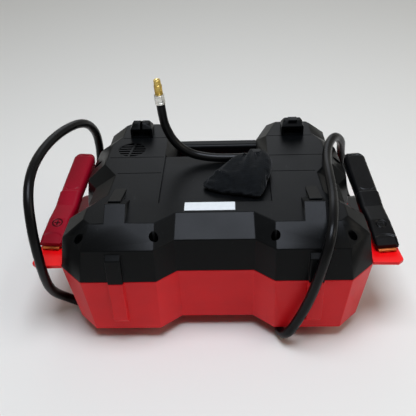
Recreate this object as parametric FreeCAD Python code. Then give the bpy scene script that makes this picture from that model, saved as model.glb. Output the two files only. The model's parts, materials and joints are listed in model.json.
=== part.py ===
import FreeCAD, Part
import math
import os

# Jump starter pack with an air compressor, lying on its control face.
# Origin: centre of the footprint, on the surface that the pack lies on.
# +X to the red clamp's opposite side, +Y towards the carry handle, +Z up.
# Lengths are in millimetres, angles in degrees.

Vector = FreeCAD.Vector

# Battery, which sets the height of the housing
BATTERY_SIZE = (151.0, 98.0, 94.0)
BATTERY_FOOT_Y = -87.0
BATTERY_Z = 31.5
BATTERY_HEADROOM = 2.0

# Heights of the housing
WALL = 3.0
PANEL_DEPTH = 2.5
FRONT_EDGE_Z = 15.0
PARTING_Z = 81.0
TOP_Z = BATTERY_Z + BATTERY_SIZE[2] + BATTERY_HEADROOM + WALL + PANEL_DEPTH
SHOULDER_DROP = 15.4
SHOULDER_Z = TOP_Z - SHOULDER_DROP

# Housing outline at the parting line, +X half, from the foot end to the handle end
SIDE_X = 155.0
FOOT_END_Y = -127.9
HANDLE_END_Y = 131.4
FOOT_RECESS_X = 37.8
FOOT_RECESS_Y = -111.2
LOBE_INNER_X = 57.4
LOBE_OUTER_X = SIDE_X - 23.2
SIDE_START_Y = -103.5
SIDE_END_Y = -71.0
WAIST_START_X = SIDE_X - 16.5
WAIST_START_Y = -49.0
WAIST_END_X = SIDE_X - 18.5
WAIST_END_Y = -12.0
WEDGE_X = SIDE_X - 7.5
WEDGE_Y = 5.0
WEDGE_END_X = SIDE_X - 11.5
WEDGE_END_Y = 70.0
FAR_SIDE_X = SIDE_X - 21.0
FAR_SIDE_START_Y = 87.0
FAR_SIDE_END_Y = 109.0
FAR_LOBE_OUTER_X = SIDE_X - 43.0
FAR_LOBE_INNER_X = 60.0
FAR_INNER_Y = 95.0
HAND_HOLE_X = 46.5
HAND_HOLE_Y = 29.5

# Inward step of each facet at these levels
LEVELS = ("shoulder", "top", "front")
FOOT_RECESS_LEAN = (1.8, 26.2, 6.1)
LOBE_INNER_LEAN = (2.0, 20.0, 4.0)
END_LEAN = (2.1, 25.7, 4.7)
CORNER_LEAN = (5.0, 26.4, 8.5)
SIDE_LEAN = (6.1, 27.2, 11.1)
FLARE_LEAN = (4.8, 24.4, 10.0)
WAIST_LEAN = (5.6, 28.8, 11.0)
WEDGE_LEAN = (3.7, 23.8, 9.0)
WEDGE_SIDE_LEAN = (5.4, 24.0, 10.0)
FAR_FLARE_LEAN = (5.2, 26.0, 9.0)
FAR_SIDE_LEAN = (4.8, 24.0, 10.0)
FAR_CORNER_LEAN = (4.5, 20.5, 8.5)
FAR_END_LEAN = (2.1, 23.9, 4.7)
FAR_INNER_LEAN = (1.7, 18.5, 4.0)
HAND_HOLE_LEAN = (0.0, 11.0, 0.0)
UPRIGHT = (0.0, 0.0, 0.0)

# Shell joint: a lip on the front shell stands inside the rear shell
LIP_GAP = 0.8
LIP_WIDTH = 1.4
LIP_HEIGHT = 3.0

# Recessed label panel, shut lines and bare sticker on the rear face
PANEL_X = 57.0
PANEL_START_Y = -67.5
LINE_WIDTH = 1.0
LINE_DEPTH = 0.7
LINE_YS = (-9.0, 25.5, 71.5)
LINE_INNER_X = 57.5
LINE_OUTER_XS = (SIDE_X - 49.0, SIDE_X - 35.5, SIDE_X - 45.0)
STICKER_START_X = -30.0
STICKER_LENGTH = 50.0
STICKER_Y = -82.0
STICKER_WIDTH = 14.2
STICKER_THICKNESS = 0.3

# Feet that the pack stands on when upright: a rib on each lobe of the foot end
FOOT_X = SIDE_X - 58.2
FOOT_WIDTH = 15.0
FOOT_STAND_OFF = 3.5
FOOT_TOP_Z = SHOULDER_Z - 3.4
FOOT_LOW_Z = 24.0

# Near cord posts, moulded with the rear shell
POST_X = SIDE_X - 58.5
POST_WIDTH = 21.0
POST_HEIGHT = 11.3
POST_REACH = 24.0
TONGUE_WIDTH = 12.0
TONGUE_END_Y = -40.0
SLIT_WIDTH = 3.2

# Far cord hooks, clipped to the rear shell
HOOK_X = SIDE_X - 66.5
HOOK_WIDTH = 25.6
HOOK_MOUTH_Y = 72.5
HOOK_DEPTH = 22.0
HOOK_HEIGHT = 17.4
HOOK_GAP_HEIGHT = 9.8
HOOK_GAP_DEPTH = 13.5
HOOK_GAP_WIDTH = 20.6
HOOK_SHOULDER = 4.2
HOOK_SLIT = 2.2
HOOK_TENON = 9.0
HOOK_TENON_DEPTH = 5.0

# Vent grille in the left far lobe
VENT_X = 58.5 - SIDE_X
VENT_Y = 43.5
VENT_R = 17.0
VENT_LEDGE = 1.6
VENT_THICKNESS = 2.2
SLAT_COUNT = 6
SLAT_WIDTH = 2.2

# Housing screws in deep wells
SCREW_PLACES = (
    (LOBE_INNER_X + 0.4, -113.5),
    (SIDE_X - 25.0, -112.0),
    (SIDE_X - 20.2, 29.5),
    (SIDE_X - 67.0, 118.0),
)
WELL_R = 4.5
WELL_FLOOR_Z = TOP_Z - 29.0
BOSS_R = 6.5
POST_R = 4.6
SCREW_R = 2.0
SCREW_HEAD_R = 3.8
SCREW_HEAD_HEIGHT = 2.6
SCREW_GRIP = 23.0
PILOT_DEPTH = 28.0
SCREW_FIT = 0.05

# Carry handle
HANDLE_Y = 78.5
HANDLE_WIDTH = 15.0
HANDLE_LOW_Z = 76.0
HANDLE_TOP_Z = SHOULDER_Z
HANDLE_ROUND = 4.0
TENON_WIDTH = 9.0
TENON_HEIGHT = 22.0
TENON_LENGTH = 7.0
FIT = 0.2

# Console: the black fascia that the pack lies on
CONSOLE_X = 96.0
CONSOLE_FOOT_Y = -66.0
CONSOLE_HANDLE_Y = 66.0
CONSOLE_FOOT_X = 34.7
CONSOLE_GLAND_X = 69.3
CONSOLE_GLAND_Y = -46.0
CONSOLE_SIDE_Y = -17.0
CONSOLE_CHAMFER = 6.0
CONSOLE_WING_X = 56.0
CONSOLE_WING_Y = 20.0
CONSOLE_FLANGE = 5.0
CONSOLE_TOP_Z = 21.0
FLANGE_THICKNESS = 3.0
WELL_RIM = 4.0
WELL_FOOT_X = 26.0
WELL_FOOT_Y = -52.0
WELL_GLAND_X = 61.0
WELL_GLAND_Y = -32.0
WELL_SIDE_X = 76.0
WELL_SIDE_Y = -26.0
FASCIA_Z = 7.0
FASCIA_THICKNESS = 3.0
BASE_THICKNESS = 3.0

# Controls on the fascia: name, x, y, radius
BUTTONS = (
    ("power_button", -40.0, -23.0, 7.0),
    ("jump_start_button", 0.0, -25.0, 10.0),
    ("compressor_button", 40.0, -23.0, 7.0),
    ("pressure_down_button", -42.0, -4.0, 5.5),
    ("light_button", 21.0, -30.0, 4.5),
    ("pressure_up_button", 42.0, -4.0, 5.5),
)
BUTTON_FACE_Z = 4.5
BUTTON_TRAVEL = 1.5
BUTTON_FIT = 0.3
BUTTON_FLANGE = 1.2
BUTTON_FLANGE_THICKNESS = 1.2
SWITCH_SIZE = 6.0
BOARD_Z = 16.0
BOARD_THICKNESS = 1.6
CHIPS = ((-30.0, -20.0, 16.0, 14.0, 3.0), (8.0, -16.0, 24.0, 8.0, 5.0))
BOARD_X = 50.0
BOARD_FOOT_Y = -42.0
BOARD_HANDLE_Y = 14.0
STANDOFF_R = 2.5
DISPLAY_X = 28.0
DISPLAY_Y = 2.5
DISPLAY_HEIGHT = 22.0
DISPLAY_REVEAL = 2.0
LENS_THICKNESS = 2.0

# Work light, 12 V outlet, charging port pair and their covers
PORT_X = 76.0
PORT_HIGH_Y = 41.0
PORT_LOW_Y = -4.0
LIGHT_R = 14.5
LIGHT_LEDGE = 2.0
REFLECTOR_DEPTH = 14.0
REFLECTOR_WALL = 1.2
LED_R = 4.0
OUTLET_BORE_R = 10.5
OUTLET_WALL = 2.5
OUTLET_DEPTH = 42.0
OUTLET_FLANGE = 2.0
USB_WIDTH = 14.0
USB_HEIGHT = 6.6
USB_DEPTH = 16.0
USB_WALL = 1.4
JACK_R = 6.0
JACK_BORE_R = 3.2
JACK_PIN_R = 1.0
JACK_DEPTH = 14.0
COVER_THICKNESS = 2.2
COVER_GAP = 0.2
BARREL_R = 2.2
HINGE_PIN_R = 1.0
HINGE_FIT = 0.05
EAR_WIDTH = 2.5
OUTLET_COVER_SIZE = (29.0, 29.0)
USB_COVER_SIZE = (24.0, 18.0)
CHARGE_COVER_SIZE = (22.0, 20.0)

# Battery tray, compressor and relay inside
TRAY_THICKNESS = 3.0
TRAY_X = SIDE_X - 48.0
TRAY_LEG = 3.5
TRAY_LEDGE = 12.0
TRAY_SETBACKS = (4.0, 10.0)
TERMINAL_R = 4.0
TERMINAL_HEIGHT = 2.0
TERMINAL_X = 64.0
TERMINAL_INSET = 16.0
TERMINAL_WELL = 3.0
TERMINAL_WELL_DEPTH = 4.0
MOTOR_X = 47.0 - SIDE_X
MOTOR_Z = 62.0
MOTOR_R = 18.0
MOTOR_START_Y = -2.0
MOTOR_LENGTH = 54.0
MOTOR_CAP_R = 8.1
MOTOR_CAP = 3.0
PUMP_SIZE = (29.0, 28.0, 52.0)
PUMP_DROP = 17.0
PUMP_RISE = 12.0
PUMP_BARREL_R = 10.0
FIN_R = 14.0
FIN_THICKNESS = 1.6
FIN_PITCH = 4.5
FIN_COUNT = 4
SADDLE_DROP = 6.0
SADDLE_X = 21.0
SADDLE_Y = 36.0
RELAY_X = SIDE_X - 47.0
RELAY_Y = -103.0
RELAY_SIZE = (28.0, 30.0, 30.0)
STUD_INSET = 7.0
STUD_R = 3.0
STUD_HEIGHT = 8.0

# Clamp tabs, where the battery clamps are parked
TAB_THICKNESS = 4.0
TAB_TIP_X = SIDE_X + 31.0
TAB_FOOT_Y = SIDE_START_Y + 0.7
TAB_TIP_FOOT_Y = SIDE_START_Y + 5.0
TAB_HANDLE_Y = SIDE_END_Y + 5.0
TAB_TONGUE_FOOT_Y = SIDE_START_Y + 7.5
TAB_TONGUE_HANDLE_Y = SIDE_END_Y - 2.0
TAB_ANCHOR_X = SIDE_X - 25.0
TAB_ANCHOR_HEIGHT = 10.0
TAB_ANCHOR_LENGTH = 5.0

# Battery clamps, in a frame with x across, y from the jaws to the handles and z square to the tab
CLAMP_PIVOT = (SIDE_X + 12.0, -38.0, PARTING_Z)
LEFT_CLAMP_SHIFT = (-1.0, 10.0)
CLAMP_YAW = 5.75
CLAMP_WIDTH = 24.0
JAW_TIP_Y = -48.0
PIVOT_R = 2.5
PIVOT_FIT = 0.05
RIVET_HEAD_R = 4.0
RIVET_HEAD = 1.2
CHEEK_R = 8.0
CHEEK_GAP = 0.6
CHEEK_WIDTH = 2.7
CHEEK_SIDE_GAP = 0.3
SPRING_INNER_R = 3.0
SPRING_OUTER_R = 4.6
SPRING_HALF_LENGTH = 4.6
COPPER_WIDTH = 18.0
COPPER_SHEET = 1.4
COPPER_DEPTH = 3.9
COPPER_BACK_Y = -13.0
BITE_GAP = 0.1
TOOTH_PITCH = 4.0
TOOTH_DEPTH = 1.4
HANDLE_SECTIONS = (
    (8.0, 7.5, 19.4, 24.0, 4.5),
    (27.5, 12.2, 25.6, 24.4, 5.0),
    (29.0, 13.0, 24.9, 23.6, 5.0),
    (86.0, 21.6, 37.2, 24.4, 6.5),
    (95.0, 24.5, 34.5, 19.0, 4.5),
)
JAW_SECTIONS = (
    (8.0, 7.5, 19.4, 24.0, 4.5),
    (-16.0, 6.2, 18.5, 23.4, 4.5),
    (-40.0, 6.2, 13.0, 23.6, 2.8),
    (JAW_TIP_Y, 6.2, 10.5, 22.6, 1.8),
)
BOOT_R = 7.0
BOOT_START_Y = 88.0
BOOT_END_Y = 100.0
BOOT_Z = -30.0

# Cable glands on the console and the jumper cables
CABLE_R = 5.0
GLAND_BASE_R = 9.0
GLAND_END_R = 6.6
GLAND_LENGTH = 18.0
GLAND_HEIGHT = 6.6
GLAND_FLOOR = 0.3
LEFT_CABLE_ROUTE = (
    (-0.445 * SIDE_X, -85.5, 6.6),
    (-0.535 * SIDE_X, -95.5, 5.6),
    (-0.65 * SIDE_X, -97.0, 5.2),
    (-0.77 * SIDE_X, -90.0, 5.2),
    (-0.885 * SIDE_X, -80.0, 5.4),
    (-SIDE_X + 2.0, -74.0, 8.0),
    (-SIDE_X - 11.0, -77.0, 18.0),
    (-SIDE_X - 17.0, -88.0, 33.0),
    (-SIDE_X - 18.2, -100.5, 52.0),
    (-SIDE_X - 17.6, -109.5, 75.0),
    (-SIDE_X - 17.0, -114.5, 100.0),
    (-SIDE_X - 19.5, -109.0, 133.0),
    (-SIDE_X - 23.5, -89.0, 161.0),
    (-SIDE_X - 25.0, -54.0, 171.0),
    (-SIDE_X - 20.0, -9.0, 172.0),
    (-SIDE_X - 9.0, 33.0, 168.0),
    (-SIDE_X + 2.5, 68.0, 157.5),
    (-SIDE_X + 8.0, 92.5, 134.0),
    (-SIDE_X + 7.5, 104.0, 106.0),
    (-SIDE_X + 5.5, 105.5, 80.0),
    (-SIDE_X + 1.2, 97.0, 60.0),
    (-SIDE_X + 0.1, 82.4, 51.0),
)
RIGHT_CABLE_ROUTE = (
    (68.0, -83.7, 6.6),
    (67.0, -102.0, 5.6),
    (62.5, -118.0, 7.0),
    (69.5, -133.5, 14.0),
    (78.5, -135.5, 32.0),
    (90.0, -137.8, 64.0),
    (98.5, -140.5, TOP_Z - 29.0),
    (SIDE_X - 48.5, -132.0, TOP_Z + 1.0),
    (SIDE_X - 43.0, -102.0, TOP_Z + 10.0),
    (SIDE_X - 38.5, -66.0, TOP_Z + 7.5),
    (SIDE_X - 38.0, -30.0, TOP_Z + 9.0),
    (SIDE_X - 36.0, 5.0, TOP_Z + 6.5),
    (SIDE_X - 30.5, 34.0, TOP_Z + 7.0),
    (SIDE_X - 20.0, 58.0, TOP_Z + 6.0),
    (SIDE_X - 8.5, 74.0, TOP_Z - 9.0),
    (SIDE_X - 5.5, 89.0, TOP_Z - 29.0),
    (SIDE_X - 2.5, 94.0, 80.0),
    (SIDE_X - 0.2, 87.0, 60.0),
    (SIDE_X + 0.9, 72.4, 51.0),
)

# Air hose, its gland and its screw-on chuck
HOSE_R = 4.75
HOSE_GLAND_X = 37.0
HOSE_GLAND_LENGTH = 14.0
HOSE_GLAND_Y = 16.5
HOSE_GLAND_WIDTH = 14.0
HOSE_GLAND_HEIGHT = 13.0
HOSE_AXIS_Z = TOP_Z + 3.0
HOSE_ROUTE = (
    (15.0, 15.6, TOP_Z + 2.5),
    (-9.0, 16.2, TOP_Z + 3.6),
    (-30.0, 16.9, TOP_Z + 9.0),
    (-45.0, 17.0, TOP_Z + 23.0),
    (-53.0, 16.9, TOP_Z + 41.0),
    (-55.4, 16.6, TOP_Z + 55.0),
)
HOSE_END = (-56.4, 16.5, TOP_Z + 69.0)
FERRULE_LENGTH = 11.0
FERRULE_R = 5.6
CHUCK_SHOULDER_R = 4.4
CHUCK_SHOULDER_LENGTH = 0.9
CHUCK_NECK_R = 2.7
CHUCK_TIP_R = 3.7
CHUCK_TIP_LENGTH = 5.6
CHUCK_BORE_R = 1.6
CHUCK_BORE_DEPTH = 12.0
COLLAR_R = 4.3
COLLAR_LENGTH = 9.4
COLLAR_FIT = 0.06

# Accessory pouch that lies on the label panel
POUCH_LIFT = 0.3
POUCH_BASE = (
    (-14.0, -37.0), (-6.0, -46.0), (22.0, -57.0), (48.0, -60.0),
    (54.0, -46.0), (55.0, -12.0), (46.0, 4.0), (26.0, 4.0),
)
POUCH_BELLY = (
    (-12.0, -36.0), (-4.0, -45.0), (24.0, -55.0), (48.0, -58.0),
    (55.0, -44.0), (55.5, -12.0), (46.0, 6.0), (26.0, 5.0),
)
POUCH_CROWN = (
    (16.0, -20.0), (18.0, -23.0), (27.0, -28.0), (36.0, -28.0),
    (43.0, -22.0), (45.0, -8.0), (42.0, 2.0), (31.0, 1.0),
)
POUCH_BELLY_HEIGHT = 6.0
POUCH_HEIGHT = 19.0


def outline(level, wall=0.0):
    """Closed housing outline at a level, moved inwards by a wall."""
    half = (
        (FOOT_RECESS_X, FOOT_RECESS_Y, LOBE_INNER_LEAN),
        (LOBE_INNER_X, FOOT_END_Y, END_LEAN),
        (LOBE_OUTER_X, FOOT_END_Y, CORNER_LEAN),
        (SIDE_X, SIDE_START_Y, SIDE_LEAN),
        (SIDE_X - 1.0, SIDE_END_Y, FLARE_LEAN),
        (WAIST_START_X, WAIST_START_Y, WAIST_LEAN),
        (WAIST_END_X, WAIST_END_Y, WEDGE_LEAN),
        (WEDGE_X, WEDGE_Y, WEDGE_SIDE_LEAN),
        (WEDGE_END_X, WEDGE_END_Y, FAR_FLARE_LEAN),
        (FAR_SIDE_X + 0.5, FAR_SIDE_START_Y, FAR_SIDE_LEAN),
        (FAR_SIDE_X, FAR_SIDE_END_Y, FAR_CORNER_LEAN),
        (FAR_LOBE_OUTER_X, HANDLE_END_Y, FAR_END_LEAN),
        (FAR_LOBE_INNER_X, HANDLE_END_Y, FAR_INNER_LEAN),
        (HAND_HOLE_X, FAR_INNER_Y, HAND_HOLE_LEAN),
        (HAND_HOLE_X, HAND_HOLE_Y, UPRIGHT),
    )
    corners = [(x, y) for x, y, lean in half]
    corners += [(-x, y) for x, y, lean in reversed(half)]
    leans = [lean for x, y, lean in half]
    leans += [half[i - 1][2] for i in range(len(half) - 1, 0, -1)]
    leans.append(FOOT_RECESS_LEAN)
    if level is None:
        steps = [wall for lean in leans]
    else:
        steps = [lean_at(lean, level) + wall for lean in leans]
    return inset(corners, steps)


def lean_at(lean, level):
    return lean[LEVELS.index(level)]


def inset(corners, steps):
    """Move each side of an anticlockwise polygon inwards by its own step."""
    sides = []
    for i, start in enumerate(corners):
        end = corners[(i + 1) % len(corners)]
        length = math.hypot(end[0] - start[0], end[1] - start[1])
        along = ((end[0] - start[0]) / length, (end[1] - start[1]) / length)
        moved = (start[0] - along[1] * steps[i], start[1] + along[0] * steps[i])
        sides.append((moved, along))
    moved_corners = []
    for i, (point, along) in enumerate(sides):
        before, before_along = sides[i - 1]
        cross = before_along[0] * along[1] - before_along[1] * along[0]
        reach = ((point[0] - before[0]) * along[1] - (point[1] - before[1]) * along[0]) / cross
        moved_corners.append((before[0] + before_along[0] * reach, before[1] + before_along[1] * reach))
    return moved_corners


def polygon(points):
    """Closed wire through points."""
    return Part.makePolygon(list(points) + [points[0]])


def facet_solid(levels):
    """Solid with flat facets between matching outlines at rising heights."""
    rings = [[Vector(x, y, z) for x, y in points] for points, z in levels]
    faces = [Part.Face(polygon(rings[0])), Part.Face(polygon(rings[-1]))]
    for low, high in zip(rings, rings[1:]):
        for i in range(len(low)):
            j = (i + 1) % len(low)
            faces.append(Part.Face(polygon([low[i], low[j], high[j], high[i]])))
    return Part.makeSolid(Part.makeShell(faces))


def box(x0, x1, y0, y1, z0, z1):
    return Part.makeBox(x1 - x0, y1 - y0, z1 - z0, Vector(x0, y0, z0))


def disc(x, y, z0, z1, radius):
    return Part.makeCylinder(radius, z1 - z0, Vector(x, y, z0))


def plate(points, z0, z1):
    """Prism of a plan outline between two heights."""
    face = Part.Face(polygon([Vector(x, y, z0) for x, y in points]))
    return face.extrude(Vector(0, 0, z1 - z0))


def side_profile(points, x0, x1):
    """Prism along X of a profile given as (y, z) points."""
    face = Part.Face(polygon([Vector(x0, y, z) for y, z in points]))
    return face.extrude(Vector(x1 - x0, 0, 0))


def mirrored(shape):
    return shape.mirror(Vector(0, 0, 0), Vector(1, 0, 0))


def both_sides(shape):
    return [shape, mirrored(shape)]


def fuse_all(shapes):
    return shapes[0].fuse(shapes[1:]).removeSplitter()


def cut_all(shape, tools):
    return shape.cut(tools)


def rear_envelope():
    return facet_solid([
        (outline(None), PARTING_Z),
        (outline("shoulder"), SHOULDER_Z),
        (outline("top"), TOP_Z),
    ])


def front_envelope():
    return facet_solid([(outline("front"), FRONT_EDGE_Z), (outline(None), PARTING_Z)])


def panel_floor_z():
    return TOP_Z - PANEL_DEPTH


def screw_places():
    return [(side * x, y) for x, y in SCREW_PLACES for side in (1, -1)]


def foot_rib(z_profile):
    """Pair of ribs on the foot end with one (y, z) profile."""
    rib = side_profile(z_profile, FOOT_X - FOOT_WIDTH / 2, FOOT_X + FOOT_WIDTH / 2)
    return both_sides(rib)


def foot_face_y():
    return FOOT_END_Y - FOOT_STAND_OFF


def near_post():
    """Wedge-shaped cord post and the sprung tongue behind it, +X side."""
    slope_run = lean_at(END_LEAN, "top") - lean_at(END_LEAN, "shoulder")
    rise_per_run = (TOP_Z - SHOULDER_Z) / slope_run
    front_y = FOOT_END_Y + lean_at(END_LEAN, "top")
    peak_y = front_y + POST_HEIGHT / rise_per_run
    root = 1.0
    wedge = side_profile(
        [
            (front_y, TOP_Z - root),
            (front_y, TOP_Z),
            (peak_y, TOP_Z + POST_HEIGHT),
            (peak_y + POST_REACH, TOP_Z),
            (peak_y + POST_REACH, TOP_Z - root),
        ],
        POST_X - POST_WIDTH / 2,
        POST_X + POST_WIDTH / 2,
    )
    tongue = side_profile(
        [
            (peak_y + 1.0, TOP_Z - root),
            (peak_y + 1.0, TOP_Z + POST_HEIGHT - 0.4),
            (peak_y + 6.0, TOP_Z + POST_HEIGHT - 0.4),
            (TONGUE_END_Y, TOP_Z),
            (TONGUE_END_Y, TOP_Z - root),
        ],
        POST_X - TONGUE_WIDTH / 2 + 1.5,
        POST_X + TONGUE_WIDTH / 2 + 1.5,
    )
    slit = box(
        POST_X - TONGUE_WIDTH / 2 + 1.5,
        POST_X + TONGUE_WIDTH / 2 + 1.5,
        peak_y + 1.6,
        peak_y + 1.6 + SLIT_WIDTH,
        TOP_Z + 3.0,
        TOP_Z + POST_HEIGHT + 1.0,
    )
    return wedge.fuse(tongue).cut(slit)


def shut_lines():
    """Shallow grooves across both lobes of the rear face."""
    tools = []
    for y, outer_x in zip(LINE_YS, LINE_OUTER_XS):
        groove = box(
            LINE_INNER_X + 1.0,
            outer_x,
            y - LINE_WIDTH / 2,
            y + LINE_WIDTH / 2,
            TOP_Z - LINE_DEPTH,
            TOP_Z + 1.0,
        )
        tools += both_sides(groove)
    return tools


def hook_tenon(clearance):
    return box(
        HOOK_X - HOOK_TENON / 2 - clearance,
        HOOK_X + HOOK_TENON / 2 + clearance,
        HOOK_MOUTH_Y + HOOK_DEPTH / 2 - clearance,
        HOOK_MOUTH_Y + HOOK_DEPTH / 2 + 6.0 + clearance,
        TOP_Z - HOOK_TENON_DEPTH - clearance,
        TOP_Z + 1.0,
    )


def handle_tenon(clearance):
    middle_y = HANDLE_Y + HANDLE_WIDTH / 2
    low = PARTING_Z - TENON_HEIGHT / 2
    return box(
        HAND_HOLE_X - 1.0,
        HAND_HOLE_X + TENON_LENGTH + clearance,
        middle_y - TENON_WIDTH / 2 - clearance,
        middle_y + TENON_WIDTH / 2 + clearance,
        low + 6.0 - clearance,
        low + 6.0 + TENON_HEIGHT + clearance,
    )


def tab_slot():
    """Room for a clamp tab's tongue through the side wall, +X side."""
    return box(
        TAB_ANCHOR_X - FIT,
        SIDE_X + 1.0,
        TAB_TONGUE_FOOT_Y - FIT,
        TAB_TONGUE_HANDLE_Y + FIT,
        PARTING_Z - TAB_THICKNESS / 2 - FIT / 2,
        PARTING_Z + TAB_THICKNESS / 2 + FIT / 2,
    )


def rear_shell():
    """Black rear housing with posts, wells, vent hole and label panel."""
    envelope = rear_envelope()
    cavity = facet_solid([
        (outline(None, WALL), PARTING_Z - 1.0),
        (outline(None, WALL), PARTING_Z),
        (outline("shoulder", WALL), SHOULDER_Z - WALL),
        (outline("top", WALL), TOP_Z - WALL),
    ])
    panel_roof = box(
        -PANEL_X - WALL,
        PANEL_X + WALL,
        PANEL_START_Y - WALL,
        HAND_HOLE_Y,
        panel_floor_z() - WALL,
        TOP_Z,
    )
    cavity = cavity.cut(panel_roof)
    bosses = [disc(x, y, PARTING_Z, TOP_Z, BOSS_R) for x, y in screw_places()]
    ledge = disc(VENT_X, VENT_Y, TOP_Z - 2 * WALL, TOP_Z - 0.5, VENT_R + 2.0)
    hook_seats = both_sides(
        box(
            HOOK_X - HOOK_TENON / 2 - WALL,
            HOOK_X + HOOK_TENON / 2 + WALL,
            HOOK_MOUTH_Y + HOOK_DEPTH / 2 - WALL,
            HOOK_MOUTH_Y + HOOK_DEPTH / 2 + 6.0 + WALL,
            TOP_Z - HOOK_TENON_DEPTH - WALL,
            TOP_Z - 0.5,
        )
    )
    inner = fuse_all(bosses + [ledge] + hook_seats).common(envelope)
    y = foot_face_y()
    feet = foot_rib([
        (FOOT_END_Y + WALL, PARTING_Z),
        (y, PARTING_Z),
        (y, FOOT_TOP_Z - 4.7),
        (FOOT_END_Y + lean_at(END_LEAN, "shoulder"), FOOT_TOP_Z),
        (FOOT_END_Y + WALL, FOOT_TOP_Z),
    ])
    shell = fuse_all([envelope.cut(cavity), inner] + feet + both_sides(near_post()))
    panel = box(-PANEL_X, PANEL_X, PANEL_START_Y, HAND_HOLE_Y + 1.0, panel_floor_z(), TOP_Z + 1.0)
    vent = [
        disc(VENT_X, VENT_Y, TOP_Z - VENT_THICKNESS, TOP_Z + 1.0, VENT_R),
        disc(VENT_X, VENT_Y, TOP_Z - 2 * WALL - 1.0, TOP_Z, VENT_R - VENT_LEDGE),
    ]
    wells = [disc(x, y, WELL_FLOOR_Z, TOP_Z + 1.0, WELL_R) for x, y in screw_places()]
    holes = [disc(x, y, PARTING_Z, TOP_Z, SCREW_R + SCREW_FIT) for x, y in screw_places()]
    seats = both_sides(hook_tenon(FIT)) + both_sides(handle_tenon(FIT)) + both_sides(tab_slot())
    return cut_all(shell, [panel] + vent + wells + holes + seats + shut_lines())


def front_shell():
    """Red front housing with a lip, screw posts and the console opening."""
    envelope = front_envelope()
    floor_z = FRONT_EDGE_Z + WALL
    cavity = facet_solid([
        (outline("front", WALL), floor_z),
        (outline(None, WALL), PARTING_Z),
        (outline(None, WALL), PARTING_Z + 1.0),
    ])
    posts = [disc(x, y, FRONT_EDGE_Z, PARTING_Z, POST_R) for x, y in screw_places()]
    inner = fuse_all(posts).common(envelope)
    y = foot_face_y()
    feet = foot_rib([
        (FOOT_END_Y + WALL, PARTING_Z),
        (y, PARTING_Z),
        (y + 2.2, FOOT_LOW_Z + 8.0),
        (FOOT_END_Y + lean_at(END_LEAN, "front") + 0.5, FOOT_LOW_Z),
        (FOOT_END_Y + lean_at(END_LEAN, "front") + 1.5, FOOT_LOW_Z),
    ])
    lip_outer = LIP_GAP + WALL
    lip_inner = lip_outer + LIP_WIDTH
    lip = facet_solid([
        (outline(None, lip_outer), PARTING_Z - LIP_HEIGHT),
        (outline(None, lip_outer), PARTING_Z + LIP_HEIGHT),
    ])
    lip = lip.fuse(facet_solid([
        (outline(None, WALL - 0.5), PARTING_Z - LIP_HEIGHT),
        (outline(None, WALL - 0.5), PARTING_Z),
    ]))
    lip_bore = facet_solid([
        (outline(None, lip_inner), PARTING_Z - LIP_HEIGHT - 1.0),
        (outline(None, lip_inner), PARTING_Z + LIP_HEIGHT + 1.0),
    ])
    shell = fuse_all([envelope.cut(cavity), inner, lip.cut(lip_bore)] + feet)
    rim = inset(console_outline(), [-FIT] * len(console_outline()))
    opening = plate(rim, FRONT_EDGE_Z - 1.0, floor_z + 1.0)
    boss_room = [
        disc(x, y, PARTING_Z - 1.0, PARTING_Z + LIP_HEIGHT + 1.0, BOSS_R + FIT).cut(
            disc(x, y, PARTING_Z - 1.0, PARTING_Z, BOSS_R + FIT)
        )
        for x, y in screw_places()
    ]
    pilot_z = PARTING_Z - PILOT_DEPTH
    pilots = [disc(x, y, pilot_z, PARTING_Z + 1.0, SCREW_R + SCREW_FIT) for x, y in screw_places()]
    seats = both_sides(handle_tenon(FIT)) + both_sides(tab_slot())
    return cut_all(shell, [opening] + boss_room + pilots + seats)


def console_outline():
    half = [
        (CONSOLE_FOOT_X, CONSOLE_FOOT_Y),
        (CONSOLE_GLAND_X, CONSOLE_GLAND_Y),
        (CONSOLE_X, CONSOLE_SIDE_Y),
        (CONSOLE_X, CONSOLE_HANDLE_Y - CONSOLE_CHAMFER),
        (CONSOLE_X - CONSOLE_CHAMFER, CONSOLE_HANDLE_Y),
        (CONSOLE_WING_X, CONSOLE_HANDLE_Y),
        (CONSOLE_WING_X, CONSOLE_WING_Y),
    ]
    return half + [(-x, y) for x, y in reversed(half)]


def control_well():
    side_x = CONSOLE_X - WELL_RIM
    wing_x = CONSOLE_WING_X + WELL_RIM
    far_y = CONSOLE_HANDLE_Y - WELL_RIM
    half = [
        (WELL_FOOT_X, WELL_FOOT_Y),
        (WELL_GLAND_X, WELL_GLAND_Y),
        (WELL_SIDE_X, WELL_SIDE_Y),
        (side_x, CONSOLE_SIDE_Y + 8.0),
        (side_x, far_y - CONSOLE_CHAMFER + 2.0),
        (side_x - CONSOLE_CHAMFER + 2.0, far_y),
        (wing_x, far_y),
        (wing_x, CONSOLE_WING_Y - WELL_RIM),
    ]
    return half + [(-x, y) for x, y in reversed(half)]


def ring_offset(points, step):
    return inset(points, [step] * len(points))


def hinge_y(y, size):
    return y + size[1] / 2 + BARREL_R + 0.3


def hinge_z():
    return FASCIA_Z - BARREL_R - COVER_GAP


def covers():
    """Name, centre x, centre y and size of each hinged cover."""
    return (
        ("outlet_cover", PORT_X, PORT_HIGH_Y, OUTLET_COVER_SIZE),
        ("usb_cover", PORT_X, PORT_LOW_Y, USB_COVER_SIZE),
        ("charge_cover", -PORT_X, PORT_LOW_Y, CHARGE_COVER_SIZE),
    )


def gland_direction():
    run = (CONSOLE_GLAND_X - CONSOLE_FOOT_X, CONSOLE_GLAND_Y - CONSOLE_FOOT_Y)
    length = math.hypot(run[0], run[1])
    return Vector(run[1] / length, -run[0] / length, 0)


def gland_root():
    return Vector(
        (CONSOLE_FOOT_X + CONSOLE_GLAND_X) / 2,
        (CONSOLE_FOOT_Y + CONSOLE_GLAND_Y) / 2,
        GLAND_HEIGHT,
    )


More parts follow.
